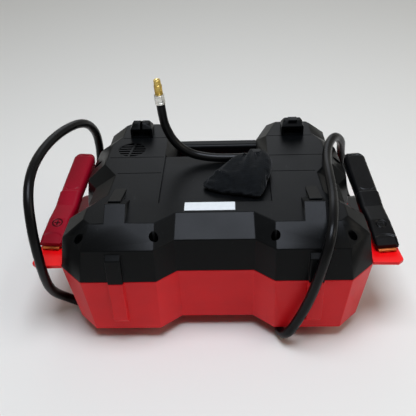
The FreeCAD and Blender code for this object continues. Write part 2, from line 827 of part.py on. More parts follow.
def front_console():
    """Black fascia: rim, control well, cable chamber, flange and hinge ears."""
    body = plate(console_outline(), 0.0, CONSOLE_TOP_Z)
    flange = plate(
        ring_offset(console_outline(), -CONSOLE_FLANGE),
        FRONT_EDGE_Z + WALL,
        FRONT_EDGE_Z + WALL + FLANGE_THICKNESS,
    )
    well = plate(control_well(), -1.0, FASCIA_Z)
    inner = ring_offset(console_outline(), BASE_THICKNESS)
    over_fascia = plate(inner, FASCIA_Z + FASCIA_THICKNESS, CONSOLE_TOP_Z + 1.0)
    chamber = plate(inner, BASE_THICKNESS, CONSOLE_TOP_Z).cut(
        plate(ring_offset(control_well(), -BASE_THICKNESS), -1.0, CONSOLE_TOP_Z + 1.0)
    )
    standoffs = []
    for x in (-BOARD_X + 4.0, BOARD_X - 4.0):
        for y in (BOARD_FOOT_Y + 4.0, BOARD_HANDLE_Y - 4.0):
            standoffs.append(disc(x, y, FASCIA_Z + FASCIA_THICKNESS - 0.5, BOARD_Z, STANDOFF_R))
    ears = []
    for name, x, y, size in covers():
        inner_x = size[0] / 2 - EAR_WIDTH
        ears.append(hinge_ear(x + inner_x, hinge_y(y, size)))
        ears.append(hinge_ear(x - inner_x - EAR_WIDTH, hinge_y(y, size)))
    console = fuse_all([body.cut(well).cut(over_fascia).cut(chamber), flange.cut(plate(
        console_outline(), 0.0, CONSOLE_TOP_Z + 1.0))] + standoffs + ears)
    holes = [
        disc(x, y, FASCIA_Z - 1.0, FASCIA_Z + FASCIA_THICKNESS + 1.0, radius + BUTTON_FIT)
        for name, x, y, radius in BUTTONS
    ]
    low = FASCIA_Z - 1.0
    high = FASCIA_Z + FASCIA_THICKNESS + 1.0
    window_x = DISPLAY_X - DISPLAY_REVEAL
    window_y = DISPLAY_HEIGHT / 2 - DISPLAY_REVEAL
    holes.append(box(-window_x, window_x, DISPLAY_Y - window_y, DISPLAY_Y + window_y, low, high))
    holes.append(disc(-PORT_X, PORT_HIGH_Y, low, high, LIGHT_R - LIGHT_LEDGE))
    holes.append(disc(PORT_X, PORT_HIGH_Y, low, high, OUTLET_BORE_R + OUTLET_WALL + FIT))
    holes.append(usb_body(FIT, low, high))
    holes.append(disc(-PORT_X, PORT_LOW_Y, low, high, JACK_R + FIT))
    for name, x, y, size in covers():
        holes.append(hinge_pin(x, y, size))
    gland_hole = Part.makeCylinder(
        CABLE_R, 3 * BASE_THICKNESS, gland_root() - gland_direction() * 2 * BASE_THICKNESS, gland_direction()
    )
    holes += both_sides(gland_hole)
    return cut_all(console, holes)


def hinge_ear(x, y):
    """Rounded ear under the fascia that carries one end of a hinge pin."""
    tip = Part.makeCylinder(BARREL_R, EAR_WIDTH, Vector(x, y, hinge_z()), Vector(1, 0, 0))
    return tip.fuse(box(x, x + EAR_WIDTH, y - BARREL_R, y + BARREL_R, hinge_z(), FASCIA_Z + 0.5))


def usb_body(clearance, z0, z1):
    half_x = USB_WIDTH / 2 + USB_WALL + clearance
    half_y = USB_HEIGHT / 2 + USB_WALL + clearance
    return box(PORT_X - half_x, PORT_X + half_x, PORT_LOW_Y - half_y, PORT_LOW_Y + half_y, z0, z1)


def hinge_pin(x, y, size):
    start = Vector(x - size[0] / 2, hinge_y(y, size), hinge_z())
    return Part.makeCylinder(HINGE_PIN_R, size[0], start, Vector(1, 0, 0))


def cover(x, y, size):
    """Hinged cover, closed, with its barrel along the handle side."""
    pivot_y = hinge_y(y, size)
    face_z = FASCIA_Z - COVER_GAP - COVER_THICKNESS
    lid = box(
        x - size[0] / 2,
        x + size[0] / 2,
        y - size[1] / 2,
        y + size[1] / 2,
        face_z,
        face_z + COVER_THICKNESS,
    )
    vertical = [e for e in lid.Edges if abs(e.Vertexes[0].Z - e.Vertexes[1].Z) > 0.5]
    lid = lid.makeFillet(2.0, vertical)
    barrel_half = size[0] / 2 - EAR_WIDTH - COVER_GAP
    start = Vector(x - barrel_half, pivot_y, hinge_z())
    barrel = Part.makeCylinder(BARREL_R, 2 * barrel_half, start, Vector(1, 0, 0))
    neck_y = y + size[1] / 2 - 1.0
    neck = box(x - barrel_half, x + barrel_half, neck_y, pivot_y, hinge_z() - 1.0, hinge_z() + 1.0)
    bore = Part.makeCylinder(HINGE_PIN_R + HINGE_FIT, 2 * barrel_half, start, Vector(1, 0, 0))
    lip = box(x - 5.0, x + 5.0, y - size[1] / 2 - 2.0, y - size[1] / 2 + 1.0, face_z, face_z + 1.4)
    return fuse_all([lid, barrel, neck, lip]).cut(bore)


def cover_hinge_pins():
    return Part.makeCompound([hinge_pin(x, y, size) for name, x, y, size in covers()])


def carry_handle():
    """Bar across the hand hole with a tenon into each side of the housing."""
    y0 = HANDLE_Y
    y1 = HANDLE_Y + HANDLE_WIDTH
    bar = box(-HAND_HOLE_X, HAND_HOLE_X, y0, y1, HANDLE_LOW_Z, HANDLE_TOP_Z)
    long_edges = [e for e in bar.Edges if abs(e.Vertexes[0].X - e.Vertexes[1].X) > 1.0]
    bar = bar.makeFillet(HANDLE_ROUND, long_edges)
    tenons = both_sides(handle_tenon(0.0))
    return fuse_all([bar] + tenons)


def vent_grille():
    """Round grille with level slats and one slanted bar."""
    low = TOP_Z - VENT_THICKNESS
    rim = disc(VENT_X, VENT_Y, low, TOP_Z - 0.1, VENT_R - FIT / 2)
    open_r = VENT_R - VENT_LEDGE
    pitch = 2 * open_r / SLAT_COUNT
    window = disc(VENT_X, VENT_Y, low - 1.0, TOP_Z + 1.0, open_r)
    slats = []
    for i in range(SLAT_COUNT - 1):
        y = VENT_Y - open_r + (i + 1) * pitch
        y0 = y - SLAT_WIDTH / 2
        slats.append(box(VENT_X - open_r, VENT_X + open_r, y0, y0 + SLAT_WIDTH, low, TOP_Z - 0.6))
    bar = box(-1.2, 1.2, -open_r, open_r, low, TOP_Z - 0.1)
    bar.rotate(Vector(0, 0, 0), Vector(0, 0, 1), -9.0)
    bar.translate(Vector(VENT_X, VENT_Y, 0))
    bars = fuse_all(slats + [bar]).common(disc(VENT_X, VENT_Y, low, TOP_Z, open_r + 0.3))
    return fuse_all([rim.cut(window), bars])


def housing_screws():
    screws = []
    for x, y in screw_places():
        head = disc(x, y, WELL_FLOOR_Z, WELL_FLOOR_Z + SCREW_HEAD_HEIGHT, SCREW_HEAD_R)
        shank = disc(x, y, PARTING_Z - SCREW_GRIP, WELL_FLOOR_Z, SCREW_R)
        drive = box(x - 2.0, x + 2.0, y - 0.5, y + 0.5, WELL_FLOOR_Z + 1.2, WELL_FLOOR_Z + 3.0)
        cross = box(x - 0.5, x + 0.5, y - 2.0, y + 2.0, WELL_FLOOR_Z + 1.2, WELL_FLOOR_Z + 3.0)
        screws.append(head.fuse(shank).cut(drive).cut(cross))
    return Part.makeCompound(screws)


def far_hook(slit):
    """Cord hook: a block with a pocket that faces the foot end, +X side."""
    y0 = HOOK_MOUTH_Y
    y1 = HOOK_MOUTH_Y + HOOK_DEPTH
    top = TOP_Z + HOOK_HEIGHT
    block = side_profile(
        [
            (y0, TOP_Z),
            (y0, TOP_Z + HOOK_GAP_HEIGHT + 1.4),
            (y0 + 4.0, top - 0.8),
            (y0 + 11.0, top),
            (y1 - 1.0, TOP_Z + HOOK_GAP_HEIGHT / 2),
            (y1, TOP_Z),
        ],
        HOOK_X - HOOK_WIDTH / 2,
        HOOK_X + HOOK_WIDTH / 2,
    )
    side_cut = None
    for side in (-1, 1):
        edge_x = HOOK_X + side * HOOK_WIDTH / 2
        corner = Part.Face(polygon([
            Vector(edge_x + side, y0, TOP_Z + HOOK_GAP_HEIGHT - 1.0),
            Vector(edge_x + side, y0, top + 1.0),
            Vector(edge_x - side * HOOK_SHOULDER, y0, top + 1.0),
        ])).extrude(Vector(0, HOOK_DEPTH, 0))
        side_cut = corner if side_cut is None else side_cut.fuse(corner)
    pocket = box(
        HOOK_X - HOOK_GAP_WIDTH / 2,
        HOOK_X + HOOK_GAP_WIDTH / 2,
        y0 - 1.0,
        y0 + HOOK_GAP_DEPTH,
        TOP_Z + 0.8,
        TOP_Z + HOOK_GAP_HEIGHT,
    )
    hook = block.cut(side_cut).cut(pocket).fuse(hook_tenon(0.0))
    if slit:
        half = HOOK_SLIT / 2
        notch_z = TOP_Z + HOOK_GAP_HEIGHT - 1.0
        notch = box(HOOK_X - half, HOOK_X + half, y0 - 1.0, y0 + 12.0, notch_z, top + 1.0)
        return hook.cut(notch)
    pad = box(HOOK_X - 5.0, HOOK_X + 5.0, y0 + 1.5, y0 + 10.0, top - 3.0, top + 1.2)
    return hook.fuse(pad).removeSplitter()


def clamp_tab():
    """Plate that a clamp bites, with a tongue through the side wall, +X side."""
    low = PARTING_Z - TAB_THICKNESS / 2
    high = PARTING_Z + TAB_THICKNESS / 2
    wing = plate(
        [
            (SIDE_X + FIT, TAB_FOOT_Y),
            (TAB_TIP_X - 5.5, TAB_FOOT_Y - 0.8),
            (TAB_TIP_X, TAB_TIP_FOOT_Y),
            (TAB_TIP_X - 3.0, TAB_HANDLE_Y - 3.5),
            (TAB_TIP_X - 7.0, TAB_HANDLE_Y),
            (SIDE_X + FIT, TAB_HANDLE_Y),
        ],
        low,
        high,
    )
    tongue = box(TAB_ANCHOR_X, SIDE_X + 1.0, TAB_TONGUE_FOOT_Y, TAB_TONGUE_HANDLE_Y, low, high)
    anchor = box(
        TAB_ANCHOR_X - TAB_ANCHOR_LENGTH,
        TAB_ANCHOR_X,
        TAB_TONGUE_FOOT_Y,
        TAB_TONGUE_HANDLE_Y,
        PARTING_Z - TAB_ANCHOR_HEIGHT / 2,
        PARTING_Z + TAB_ANCHOR_HEIGHT / 2,
    )
    return fuse_all([wing, tongue, anchor])


def rear_sticker():
    return box(
        STICKER_START_X,
        STICKER_START_X + STICKER_LENGTH,
        STICKER_Y,
        STICKER_Y + STICKER_WIDTH,
        sticker_z(),
        sticker_z() + STICKER_THICKNESS,
    )


def sticker_z():
    return TOP_Z


def button(x, y, radius):
    """Push button with a retaining flange behind the fascia."""
    flange_z = FASCIA_Z + FASCIA_THICKNESS + FIT
    cap = disc(x, y, BUTTON_FACE_Z, flange_z + BUTTON_FLANGE_THICKNESS, radius)
    rim = cap.Edges[2] if abs(cap.Edges[2].Vertexes[0].Z - BUTTON_FACE_Z) < 0.01 else cap.Edges[0]
    cap = cap.makeChamfer(0.8, [rim])
    flange = disc(x, y, flange_z, flange_z + BUTTON_FLANGE_THICKNESS, radius + BUTTON_FLANGE)
    return cap.fuse(flange)


def switch_z():
    return FASCIA_Z + FASCIA_THICKNESS + FIT + BUTTON_FLANGE_THICKNESS + BUTTON_TRAVEL + FIT


def tact_switches():
    half = SWITCH_SIZE / 2
    blocks = []
    for name, x, y, radius in BUTTONS:
        blocks.append(box(x - half, x + half, y - half, y + half, switch_z(), BOARD_Z))
    return Part.makeCompound(blocks)


def control_board():
    board = box(-BOARD_X, BOARD_X, BOARD_FOOT_Y, BOARD_HANDLE_Y, BOARD_Z, BOARD_Z + BOARD_THICKNESS)
    low = BOARD_Z + BOARD_THICKNESS
    chips = [box(x, x + length, y, y + width, low, low + height) for x, y, length, width, height in CHIPS]
    return fuse_all([board] + chips)


def display_lens():
    return box(
        -DISPLAY_X,
        DISPLAY_X,
        DISPLAY_Y - DISPLAY_HEIGHT / 2,
        DISPLAY_Y + DISPLAY_HEIGHT / 2,
        FASCIA_Z - LENS_THICKNESS,
        FASCIA_Z,
    )


def display_module():
    half_x = DISPLAY_X - DISPLAY_REVEAL - 2.0
    half_y = DISPLAY_HEIGHT / 2 - DISPLAY_REVEAL - 1.0
    return box(-half_x, half_x, DISPLAY_Y - half_y, DISPLAY_Y + half_y, FASCIA_Z + 0.3, BOARD_Z)


def work_light_lens():
    flange = disc(-PORT_X, PORT_HIGH_Y, FASCIA_Z - LENS_THICKNESS, FASCIA_Z, LIGHT_R)
    plug = disc(-PORT_X, PORT_HIGH_Y, FASCIA_Z - 0.5, FASCIA_Z + 1.5, LIGHT_R - LIGHT_LEDGE - FIT)
    return flange.fuse(plug)


def work_light_reflector():
    """Cone that seats behind the fascia, with the lamp's base at its apex."""
    base_z = FASCIA_Z + FASCIA_THICKNESS
    rim_r = LIGHT_R - LIGHT_LEDGE
    centre = Vector(-PORT_X, PORT_HIGH_Y, base_z)
    outer = Part.makeCone(rim_r + REFLECTOR_WALL, LED_R + REFLECTOR_WALL, REFLECTOR_DEPTH, centre)
    inner = Part.makeCone(rim_r, LED_R, REFLECTOR_DEPTH, centre)
    cap_z = base_z + REFLECTOR_DEPTH - 1.0
    cap = disc(-PORT_X, PORT_HIGH_Y, cap_z, cap_z + 4.0, LED_R + REFLECTOR_WALL)
    return outer.cut(inner).fuse(cap).removeSplitter()


def outlet_socket():
    """12 V outlet tube with a flange and its centre contact."""
    outer_r = OUTLET_BORE_R + OUTLET_WALL
    base_z = FASCIA_Z + FASCIA_THICKNESS
    tube = disc(PORT_X, PORT_HIGH_Y, FASCIA_Z, FASCIA_Z + OUTLET_DEPTH, outer_r)
    flange = disc(PORT_X, PORT_HIGH_Y, base_z, base_z + 2.0, outer_r + OUTLET_FLANGE)
    bore = disc(PORT_X, PORT_HIGH_Y, FASCIA_Z - 1.0, FASCIA_Z + OUTLET_DEPTH - 3.0, OUTLET_BORE_R)
    contact = disc(PORT_X, PORT_HIGH_Y, FASCIA_Z + OUTLET_DEPTH - 7.0, FASCIA_Z + OUTLET_DEPTH - 2.0, 2.5)
    return fuse_all([tube.fuse(flange).cut(bore), contact])


def usb_port():
    base_z = FASCIA_Z + FASCIA_THICKNESS
    body = usb_body(0.0, FASCIA_Z, FASCIA_Z + USB_DEPTH)
    flange = usb_body(2.0, base_z, base_z + 1.5)
    mouth = box(
        PORT_X - USB_WIDTH / 2,
        PORT_X + USB_WIDTH / 2,
        PORT_LOW_Y - USB_HEIGHT / 2,
        PORT_LOW_Y + USB_HEIGHT / 2,
        FASCIA_Z - 1.0,
        FASCIA_Z + USB_DEPTH - 2.0,
    )
    return body.fuse(flange).cut(mouth)


def charge_jack():
    base_z = FASCIA_Z + FASCIA_THICKNESS
    body = disc(-PORT_X, PORT_LOW_Y, FASCIA_Z, FASCIA_Z + JACK_DEPTH, JACK_R)
    nut = disc(-PORT_X, PORT_LOW_Y, base_z, base_z + 3.0, JACK_R + 2.5)
    bore = disc(-PORT_X, PORT_LOW_Y, FASCIA_Z - 1.0, FASCIA_Z + JACK_DEPTH - 2.0, JACK_BORE_R)
    pin = disc(-PORT_X, PORT_LOW_Y, FASCIA_Z + 1.5, FASCIA_Z + JACK_DEPTH - 1.0, JACK_PIN_R)
    return fuse_all([body.fuse(nut).cut(bore), pin])


def battery():
    """Sealed 12 V battery with two bolt terminals."""
    length, depth, height = BATTERY_SIZE
    case = box(-length / 2, length / 2, BATTERY_FOOT_Y, BATTERY_FOOT_Y + depth, BATTERY_Z, BATTERY_Z + height)
    y = BATTERY_FOOT_Y + TERMINAL_INSET
    top = BATTERY_Z + height
    low = top - TERMINAL_WELL_DEPTH
    wells = [disc(x, y, low, top, TERMINAL_R + TERMINAL_WELL) for x in (-TERMINAL_X, TERMINAL_X)]
    stud_z = low - 1.0
    studs = [disc(x, y, stud_z, stud_z + TERMINAL_HEIGHT, TERMINAL_R) for x in (-TERMINAL_X, TERMINAL_X)]
    return fuse_all([cut_all(case, wells)] + studs)


def battery_tray():
    """Tray on two side walls that stand on the front shell's floor."""
    depth = BATTERY_SIZE[1]
    y0 = BATTERY_FOOT_Y + TRAY_SETBACKS[0]
    y1 = BATTERY_FOOT_Y + depth - TRAY_SETBACKS[1]
    floor_z = FRONT_EDGE_Z + WALL
    deck = box(-TRAY_X, TRAY_X, y0, y1, BATTERY_Z - TRAY_THICKNESS, BATTERY_Z)
    legs = both_sides(box(TRAY_X - TRAY_LEG, TRAY_X, y0, y1, floor_z, BATTERY_Z))
    ledges = both_sides(box(
        BATTERY_SIZE[0] / 2 + FIT,
        BATTERY_SIZE[0] / 2 + FIT + TRAY_THICKNESS,
        y0,
        y1,
        BATTERY_Z - 1.0,
        BATTERY_Z + TRAY_LEDGE,
    ))
    return fuse_all([deck] + legs + ledges)


def compressor_motor():
    start = Vector(MOTOR_X, MOTOR_START_Y, MOTOR_Z)
    can = Part.makeCylinder(MOTOR_R, MOTOR_LENGTH, start, Vector(0, 1, 0))
    cap = Part.makeCylinder(MOTOR_CAP_R, MOTOR_CAP, start - Vector(0, MOTOR_CAP, 0), Vector(0, 1, 0))
    return can.fuse(cap)


def compressor_pump():
    """Crankcase with an upright cylinder head and cooling fins."""
    width, depth, height = PUMP_SIZE
    y0 = MOTOR_START_Y + MOTOR_LENGTH
    low = MOTOR_Z - PUMP_DROP
    crown = MOTOR_Z + PUMP_RISE
    case = box(MOTOR_X - width / 2, MOTOR_X + width / 2, y0, y0 + depth, low, crown)
    barrel = disc(MOTOR_X, y0 + depth / 2, MOTOR_Z, low + height, PUMP_BARREL_R)
    fins = []
    for i in range(FIN_COUNT):
        z = low + height - (i + 1) * FIN_PITCH
        fins.append(disc(MOTOR_X, y0 + depth / 2, z, z + FIN_THICKNESS, FIN_R))
    return fuse_all([case, barrel] + fins)


def compressor_bracket():
    """Saddle under the motor, on the front shell's floor."""
    floor_z = FRONT_EDGE_Z + WALL
    y0 = MOTOR_START_Y + (MOTOR_LENGTH - SADDLE_Y) / 2
    x0 = MOTOR_X - SADDLE_X / 2
    block = box(x0, x0 + SADDLE_X, y0, y0 + SADDLE_Y, floor_z, MOTOR_Z - SADDLE_DROP)
    console_edge = ring_offset(console_outline(), -CONSOLE_FLANGE - FIT)
    console_room = plate(console_edge, floor_z - 1.0, CONSOLE_TOP_Z + FIT)
    start = Vector(MOTOR_X, MOTOR_START_Y, MOTOR_Z)
    bore = Part.makeCylinder(MOTOR_R + FIT, MOTOR_LENGTH, start, Vector(0, 1, 0))
    return block.cut(console_room).cut(bore)


def starter_relay():
    length, depth, height = RELAY_SIZE
    floor_z = FRONT_EDGE_Z + WALL
    case = box(RELAY_X, RELAY_X + length, RELAY_Y, RELAY_Y + depth, floor_z, floor_z + height)
    studs = [
        disc(x, RELAY_Y + depth / 2, floor_z + height - 0.5, floor_z + height + STUD_HEIGHT, STUD_R)
        for x in (RELAY_X + STUD_INSET, RELAY_X + length - STUD_INSET)
    ]
    return fuse_all([case] + studs)


def rounded_section(y, low, high, width, radius):
    """Rounded rectangle in the plane square to y."""
    x = width / 2
    r = radius
    diagonal = r * (1 - math.sqrt(0.5))
    arcs = (
        ((x, high - r), (x - diagonal, high - diagonal), (x - r, high)),
        ((-x + r, high), (-x + diagonal, high - diagonal), (-x, high - r)),
        ((-x, low + r), (-x + diagonal, low + diagonal), (-x + r, low)),
        ((x - r, low), (x - diagonal, low + diagonal), (x, low + r)),
    )
    edges = []
    for i, (start, middle, end) in enumerate(arcs):
        points = [Vector(px, y, pz) for px, pz in (start, middle, end)]
        edges.append(Part.Arc(*points).toShape())
        follow = arcs[(i + 1) % 4][0]
        edges.append(Part.LineSegment(points[2], Vector(follow[0], y, follow[1])).toShape())
    return Part.Wire(edges)


def section_loft(sections):
    return Part.makeLoft([rounded_section(*section) for section in sections], True, True)


def pivot_disc(radius, x0, x1):
    return Part.makeCylinder(radius, x1 - x0, Vector(x0, 0, 0), Vector(1, 0, 0))


def cheek(x0, x1):
    """Round cheek about the pivot with a web up to the arm."""
    web = box(x0, x1, -CHEEK_R, CHEEK_R, 0.0, CHEEK_R + 2.5)
    return pivot_disc(CHEEK_R, x0, x1).fuse(web)


def clamp_arm(outer):
    """Upper arm of a clamp; outer cheeks pass outside the inner ones."""
    arm = fuse_all([section_loft(HANDLE_SECTIONS), section_loft(JAW_SECTIONS)])
    arm = arm.cut(pivot_disc(CHEEK_R + CHEEK_GAP, -CLAMP_WIDTH, CLAMP_WIDTH))
    x1 = CLAMP_WIDTH / 2 if outer else CLAMP_WIDTH / 2 - CHEEK_WIDTH - CHEEK_SIDE_GAP
    x0 = x1 - CHEEK_WIDTH
    cheeks = both_sides(cheek(x0, x1))
    arm = fuse_all([arm] + cheeks)
    fit = PIVOT_FIT if outer else 0.0
    return arm.cut(pivot_disc(PIVOT_R + fit, -CLAMP_WIDTH, CLAMP_WIDTH))


def copper_jaw():
    """Folded copper jaw: a plate with two toothed flanges, upper side."""
    low = TAB_THICKNESS / 2 + BITE_GAP
    high = low + COPPER_DEPTH
    half = COPPER_WIDTH / 2
    channel = box(-half, half, JAW_TIP_Y, COPPER_BACK_Y, low, high)
    inner = half - COPPER_SHEET
    hollow = box(-inner, inner, JAW_TIP_Y - 1.0, COPPER_BACK_Y + 1.0, low - 1.0, high - COPPER_SHEET)
    teeth = []
    count = int((COPPER_BACK_Y - JAW_TIP_Y) / TOOTH_PITCH)
    for i in range(1, count):
        y = JAW_TIP_Y + i * TOOTH_PITCH
        notch = [
            (y - TOOTH_PITCH * 0.3, low - 0.2),
            (y, low + TOOTH_DEPTH),
            (y + TOOTH_PITCH * 0.3, low - 0.2),
        ]
        teeth.append(side_profile(notch, -half - 1.0, half + 1.0))
    return cut_all(channel.cut(hollow), teeth)


def below(shape):
    """The same shape on the other side of the tab."""
    return shape.mirror(Vector(0, 0, 0), Vector(0, 0, 1))


def clamp_pivot(side):
    """Pivot of a parked clamp, before the left one is mirrored."""
    if side > 0:
        return Vector(*CLAMP_PIVOT)
    return Vector(CLAMP_PIVOT[0] + LEFT_CLAMP_SHIFT[0], CLAMP_PIVOT[1] + LEFT_CLAMP_SHIFT[1], CLAMP_PIVOT[2])


def place_clamp(shape, side):
    """Put a clamp piece at its parked place on one side."""
    placed = shape.copy()
    placed.rotate(Vector(0, 0, 0), Vector(0, 0, 1), CLAMP_YAW)
    placed.translate(clamp_pivot(side))
    return placed if side > 0 else mirrored(placed)


def clamp_pieces():
    """The pieces of one clamp in its own frame."""
    boot_root = Vector(0, BOOT_START_Y, BOOT_Z)
    boot = Part.makeCylinder(BOOT_R, BOOT_END_Y - BOOT_START_Y, boot_root, Vector(0, 1, 0))
    lower = fuse_all([below(clamp_arm(False)), boot])
    pin = pivot_disc(PIVOT_R, -CLAMP_WIDTH / 2, CLAMP_WIDTH / 2)
    head = pivot_disc(RIVET_HEAD_R, CLAMP_WIDTH / 2 + 0.1, CLAMP_WIDTH / 2 + 0.1 + RIVET_HEAD)
    neck = pivot_disc(PIVOT_R, CLAMP_WIDTH / 2 - 0.5, CLAMP_WIDTH / 2 + 0.5)
    rivet = fuse_all([pin] + both_sides(head.fuse(neck)))
    spring = pivot_disc(SPRING_OUTER_R, -SPRING_HALF_LENGTH, SPRING_HALF_LENGTH).cut(
        pivot_disc(SPRING_INNER_R, -CLAMP_WIDTH, CLAMP_WIDTH)
    )
    return (
        ("upper_arm", clamp_arm(True)),
        ("upper_jaw", copper_jaw()),
        ("lower_arm", lower),
        ("lower_jaw", below(copper_jaw())),
        ("pivot_rivet", rivet),
        ("spring", spring),
    )


def cable_gland():
    """Strain relief on the console's slanted face, +X side."""
    root = gland_root()
    along = gland_direction()
    collar = Part.makeCylinder(GLAND_END_R, 3.0, root, along)
    cone = Part.makeCone(GLAND_END_R, CABLE_R + 0.8, GLAND_LENGTH - 3.0, root + along * 3.0, along)
    room = box(0.0, SIDE_X, FOOT_END_Y, 0.0, GLAND_FLOOR, PARTING_Z)
    return fuse_all([collar, cone]).common(room)


def gland_end():
    return gland_root() + gland_direction() * GLAND_LENGTH


def boot_end(side):
    """Centre of the cable's entry into a clamp's lower handle, before the left one is mirrored."""
    angle = math.radians(CLAMP_YAW)
    return clamp_pivot(side) + Vector(-math.sin(angle) * BOOT_END_Y, math.cos(angle) * BOOT_END_Y, BOOT_Z)


def on_left(point):
    return Vector(-point.x, point.y, point.z)


def cord(name, points, radius):
    """Tube along straight runs joined by tangent arcs."""
    edges = []
    radii = []
    start = points[0]
    for i in range(1, len(points) - 1):
        into = points[i] - points[i - 1]
        out = points[i + 1] - points[i]
        reach = 0.45 * min(into.Length, out.Length)
        into.normalize()
        out.normalize()
        turn = into.getAngle(out)
        bend = reach / math.tan(turn / 2)
        radii.append(bend)
        bend_start = points[i] - into * reach
        bend_end = points[i] + out * reach
        inward = (out - into).normalize()
        middle = points[i] + inward * (bend / math.cos(turn / 2) - bend)
        edges.append(Part.LineSegment(start, bend_start).toShape())
        edges.append(Part.Arc(bend_start, middle, bend_end).toShape())
        start = bend_end
    edges.append(Part.LineSegment(start, points[-1]).toShape())
    path = Part.Wire(edges)
    ring = Part.Wire([Part.makeCircle(radius, points[0], points[1] - points[0])])
    tube = path.makePipeShell([ring], True, False)
    ratio = tube.Volume / (math.pi * radius**2 * path.Length)
    print(name, "length", round(path.Length, 1), "tightest radius", round(min(radii), 1))
    print("  volume ratio", round(ratio, 4), "radii", [round(r) for r in radii])
    return tube


def left_cable():
    points = [on_left(gland_end())] + [Vector(*p) for p in LEFT_CABLE_ROUTE] + [on_left(boot_end(-1))]
    return cord("left cable", points, CABLE_R)


def right_cable():
    points = [gland_end()] + [Vector(*p) for p in RIGHT_CABLE_ROUTE] + [boot_end(1)]
    return cord("right cable", points, CABLE_R)


def hose_gland():
    """Moulded elbow on the label panel that the hose leaves flat."""
    x0 = HOSE_GLAND_X
    x1 = HOSE_GLAND_X + HOSE_GLAND_LENGTH
    y0 = HOSE_GLAND_Y - HOSE_GLAND_WIDTH / 2
    y1 = HOSE_GLAND_Y + HOSE_GLAND_WIDTH / 2
    low = panel_floor_z()
    block = box(x0, x1, y0, y1, low, low + HOSE_GLAND_HEIGHT)
    edges = [e for e in block.Edges if min(v.Z for v in e.Vertexes) > low + 1.0]
    return block.makeFillet(3.0, edges)


def hose_start():
    return Vector(HOSE_GLAND_X, HOSE_GLAND_Y, HOSE_AXIS_Z)


def air_hose():
    points = [hose_start()] + [Vector(*p) for p in HOSE_ROUTE] + [Vector(*HOSE_END)]
    return cord("air hose", points, HOSE_R)


def hose_axis():
    return (Vector(*HOSE_END) - Vector(*HOSE_ROUTE[-1])).normalize()


def along_hose(distance):
    return Vector(*HOSE_END) + hose_axis() * distance


def hose_ferrule():
    return Part.makeCylinder(FERRULE_R, FERRULE_LENGTH, along_hose(0.0), hose_axis())


def collar_start():
    return FERRULE_LENGTH + CHUCK_SHOULDER_LENGTH + FIT


def chuck_body():
    """Brass stem whose tip and shoulder keep the collar on."""
    tip_start = collar_start() + COLLAR_LENGTH + FIT
    length = tip_start - FERRULE_LENGTH
    root = along_hose(FERRULE_LENGTH)
    shoulder = Part.makeCylinder(CHUCK_SHOULDER_R, CHUCK_SHOULDER_LENGTH, root, hose_axis())
    neck = Part.makeCylinder(CHUCK_NECK_R, length + 1.0, root, hose_axis())
    tip = Part.makeCylinder(CHUCK_TIP_R, CHUCK_TIP_LENGTH, along_hose(tip_start), hose_axis())
    bore_start = tip_start + CHUCK_TIP_LENGTH - CHUCK_BORE_DEPTH
    bore = Part.makeCylinder(CHUCK_BORE_R, CHUCK_BORE_DEPTH + 1.0, along_hose(bore_start), hose_axis())
    return fuse_all([shoulder, neck, tip]).cut(bore)


def chuck_collar():
    """Knurled collar that spins on the stem."""
    body = Part.makeCylinder(COLLAR_R, COLLAR_LENGTH, along_hose(collar_start()), hose_axis())
    bore_r = CHUCK_NECK_R + COLLAR_FIT
    bore = Part.makeCylinder(bore_r, COLLAR_LENGTH + 2.0, along_hose(collar_start() - 1.0), hose_axis())
    return body.cut(bore)


def accessory_pouch():
    """Soft pouch as one closed form with a crown."""
    low = panel_floor_z() + POUCH_LIFT
    rings = []
    for points, z in (
        (POUCH_BASE, low),
        (POUCH_BELLY, low + POUCH_BELLY_HEIGHT),
        (POUCH_CROWN, low + POUCH_HEIGHT),
    ):
        rings.append(polygon([Vector(x, y, z) for x, y in points]))
    return Part.makeLoft(rings, True, True)


def build():
    """Every sub-part by node name."""
    parts = {
        "rear_shell": rear_shell(),
        "front_shell": front_shell(),
        "front_console": front_console(),
        "carry_handle": carry_handle(),
        "vent_grille": vent_grille(),
        "housing_screws": housing_screws(),
        "far_hook_right": far_hook(False),
        "far_hook_left": mirrored(far_hook(True)),
        "clamp_tab_right": clamp_tab(),
        "clamp_tab_left": mirrored(clamp_tab()),
        "rear_sticker": rear_sticker(),
        "tact_switches": tact_switches(),
        "control_board": control_board(),
        "display_lens": display_lens(),
        "display_module": display_module(),
        "work_light_lens": work_light_lens(),
        "work_light_reflector": work_light_reflector(),
        "outlet_socket": outlet_socket(),
        "usb_port": usb_port(),
        "charge_jack": charge_jack(),
        "cover_hinge_pins": cover_hinge_pins(),
        "battery": battery(),
        "battery_tray": battery_tray(),
        "compressor_motor": compressor_motor(),
        "compressor_pump": compressor_pump(),
        "compressor_bracket": compressor_bracket(),
        "starter_relay": starter_relay(),
        "cable_gland_right": cable_gland(),
        "cable_gland_left": mirrored(cable_gland()),
        "jumper_cable_left": left_cable(),
        "jumper_cable_right": right_cable(),
        "hose_gland": hose_gland(),
        "air_hose": air_hose(),
        "hose_ferrule": hose_ferrule(),
        "chuck_body": chuck_body(),
        "chuck_collar": chuck_collar(),
        "accessory_pouch": accessory_pouch(),
    }
    for name, x, y, radius in BUTTONS:
        parts[name] = button(x, y, radius)
    for name, x, y, size in covers():
        parts[name] = cover(x, y, size)
    for name, shape in clamp_pieces():
        parts["clamp_right_" + name] = place_clamp(shape, 1)
        parts["clamp_left_" + name] = place_clamp(shape, -1)
    return parts


os.makedirs("parts", exist_ok=True)
for node, shape in build().items():
    shape.exportStep("parts/" + node + ".step")
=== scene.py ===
import json
import math

import bmesh
import bpy
import numpy as np
from mathutils import Matrix, Vector
from mathutils.noise import fractal


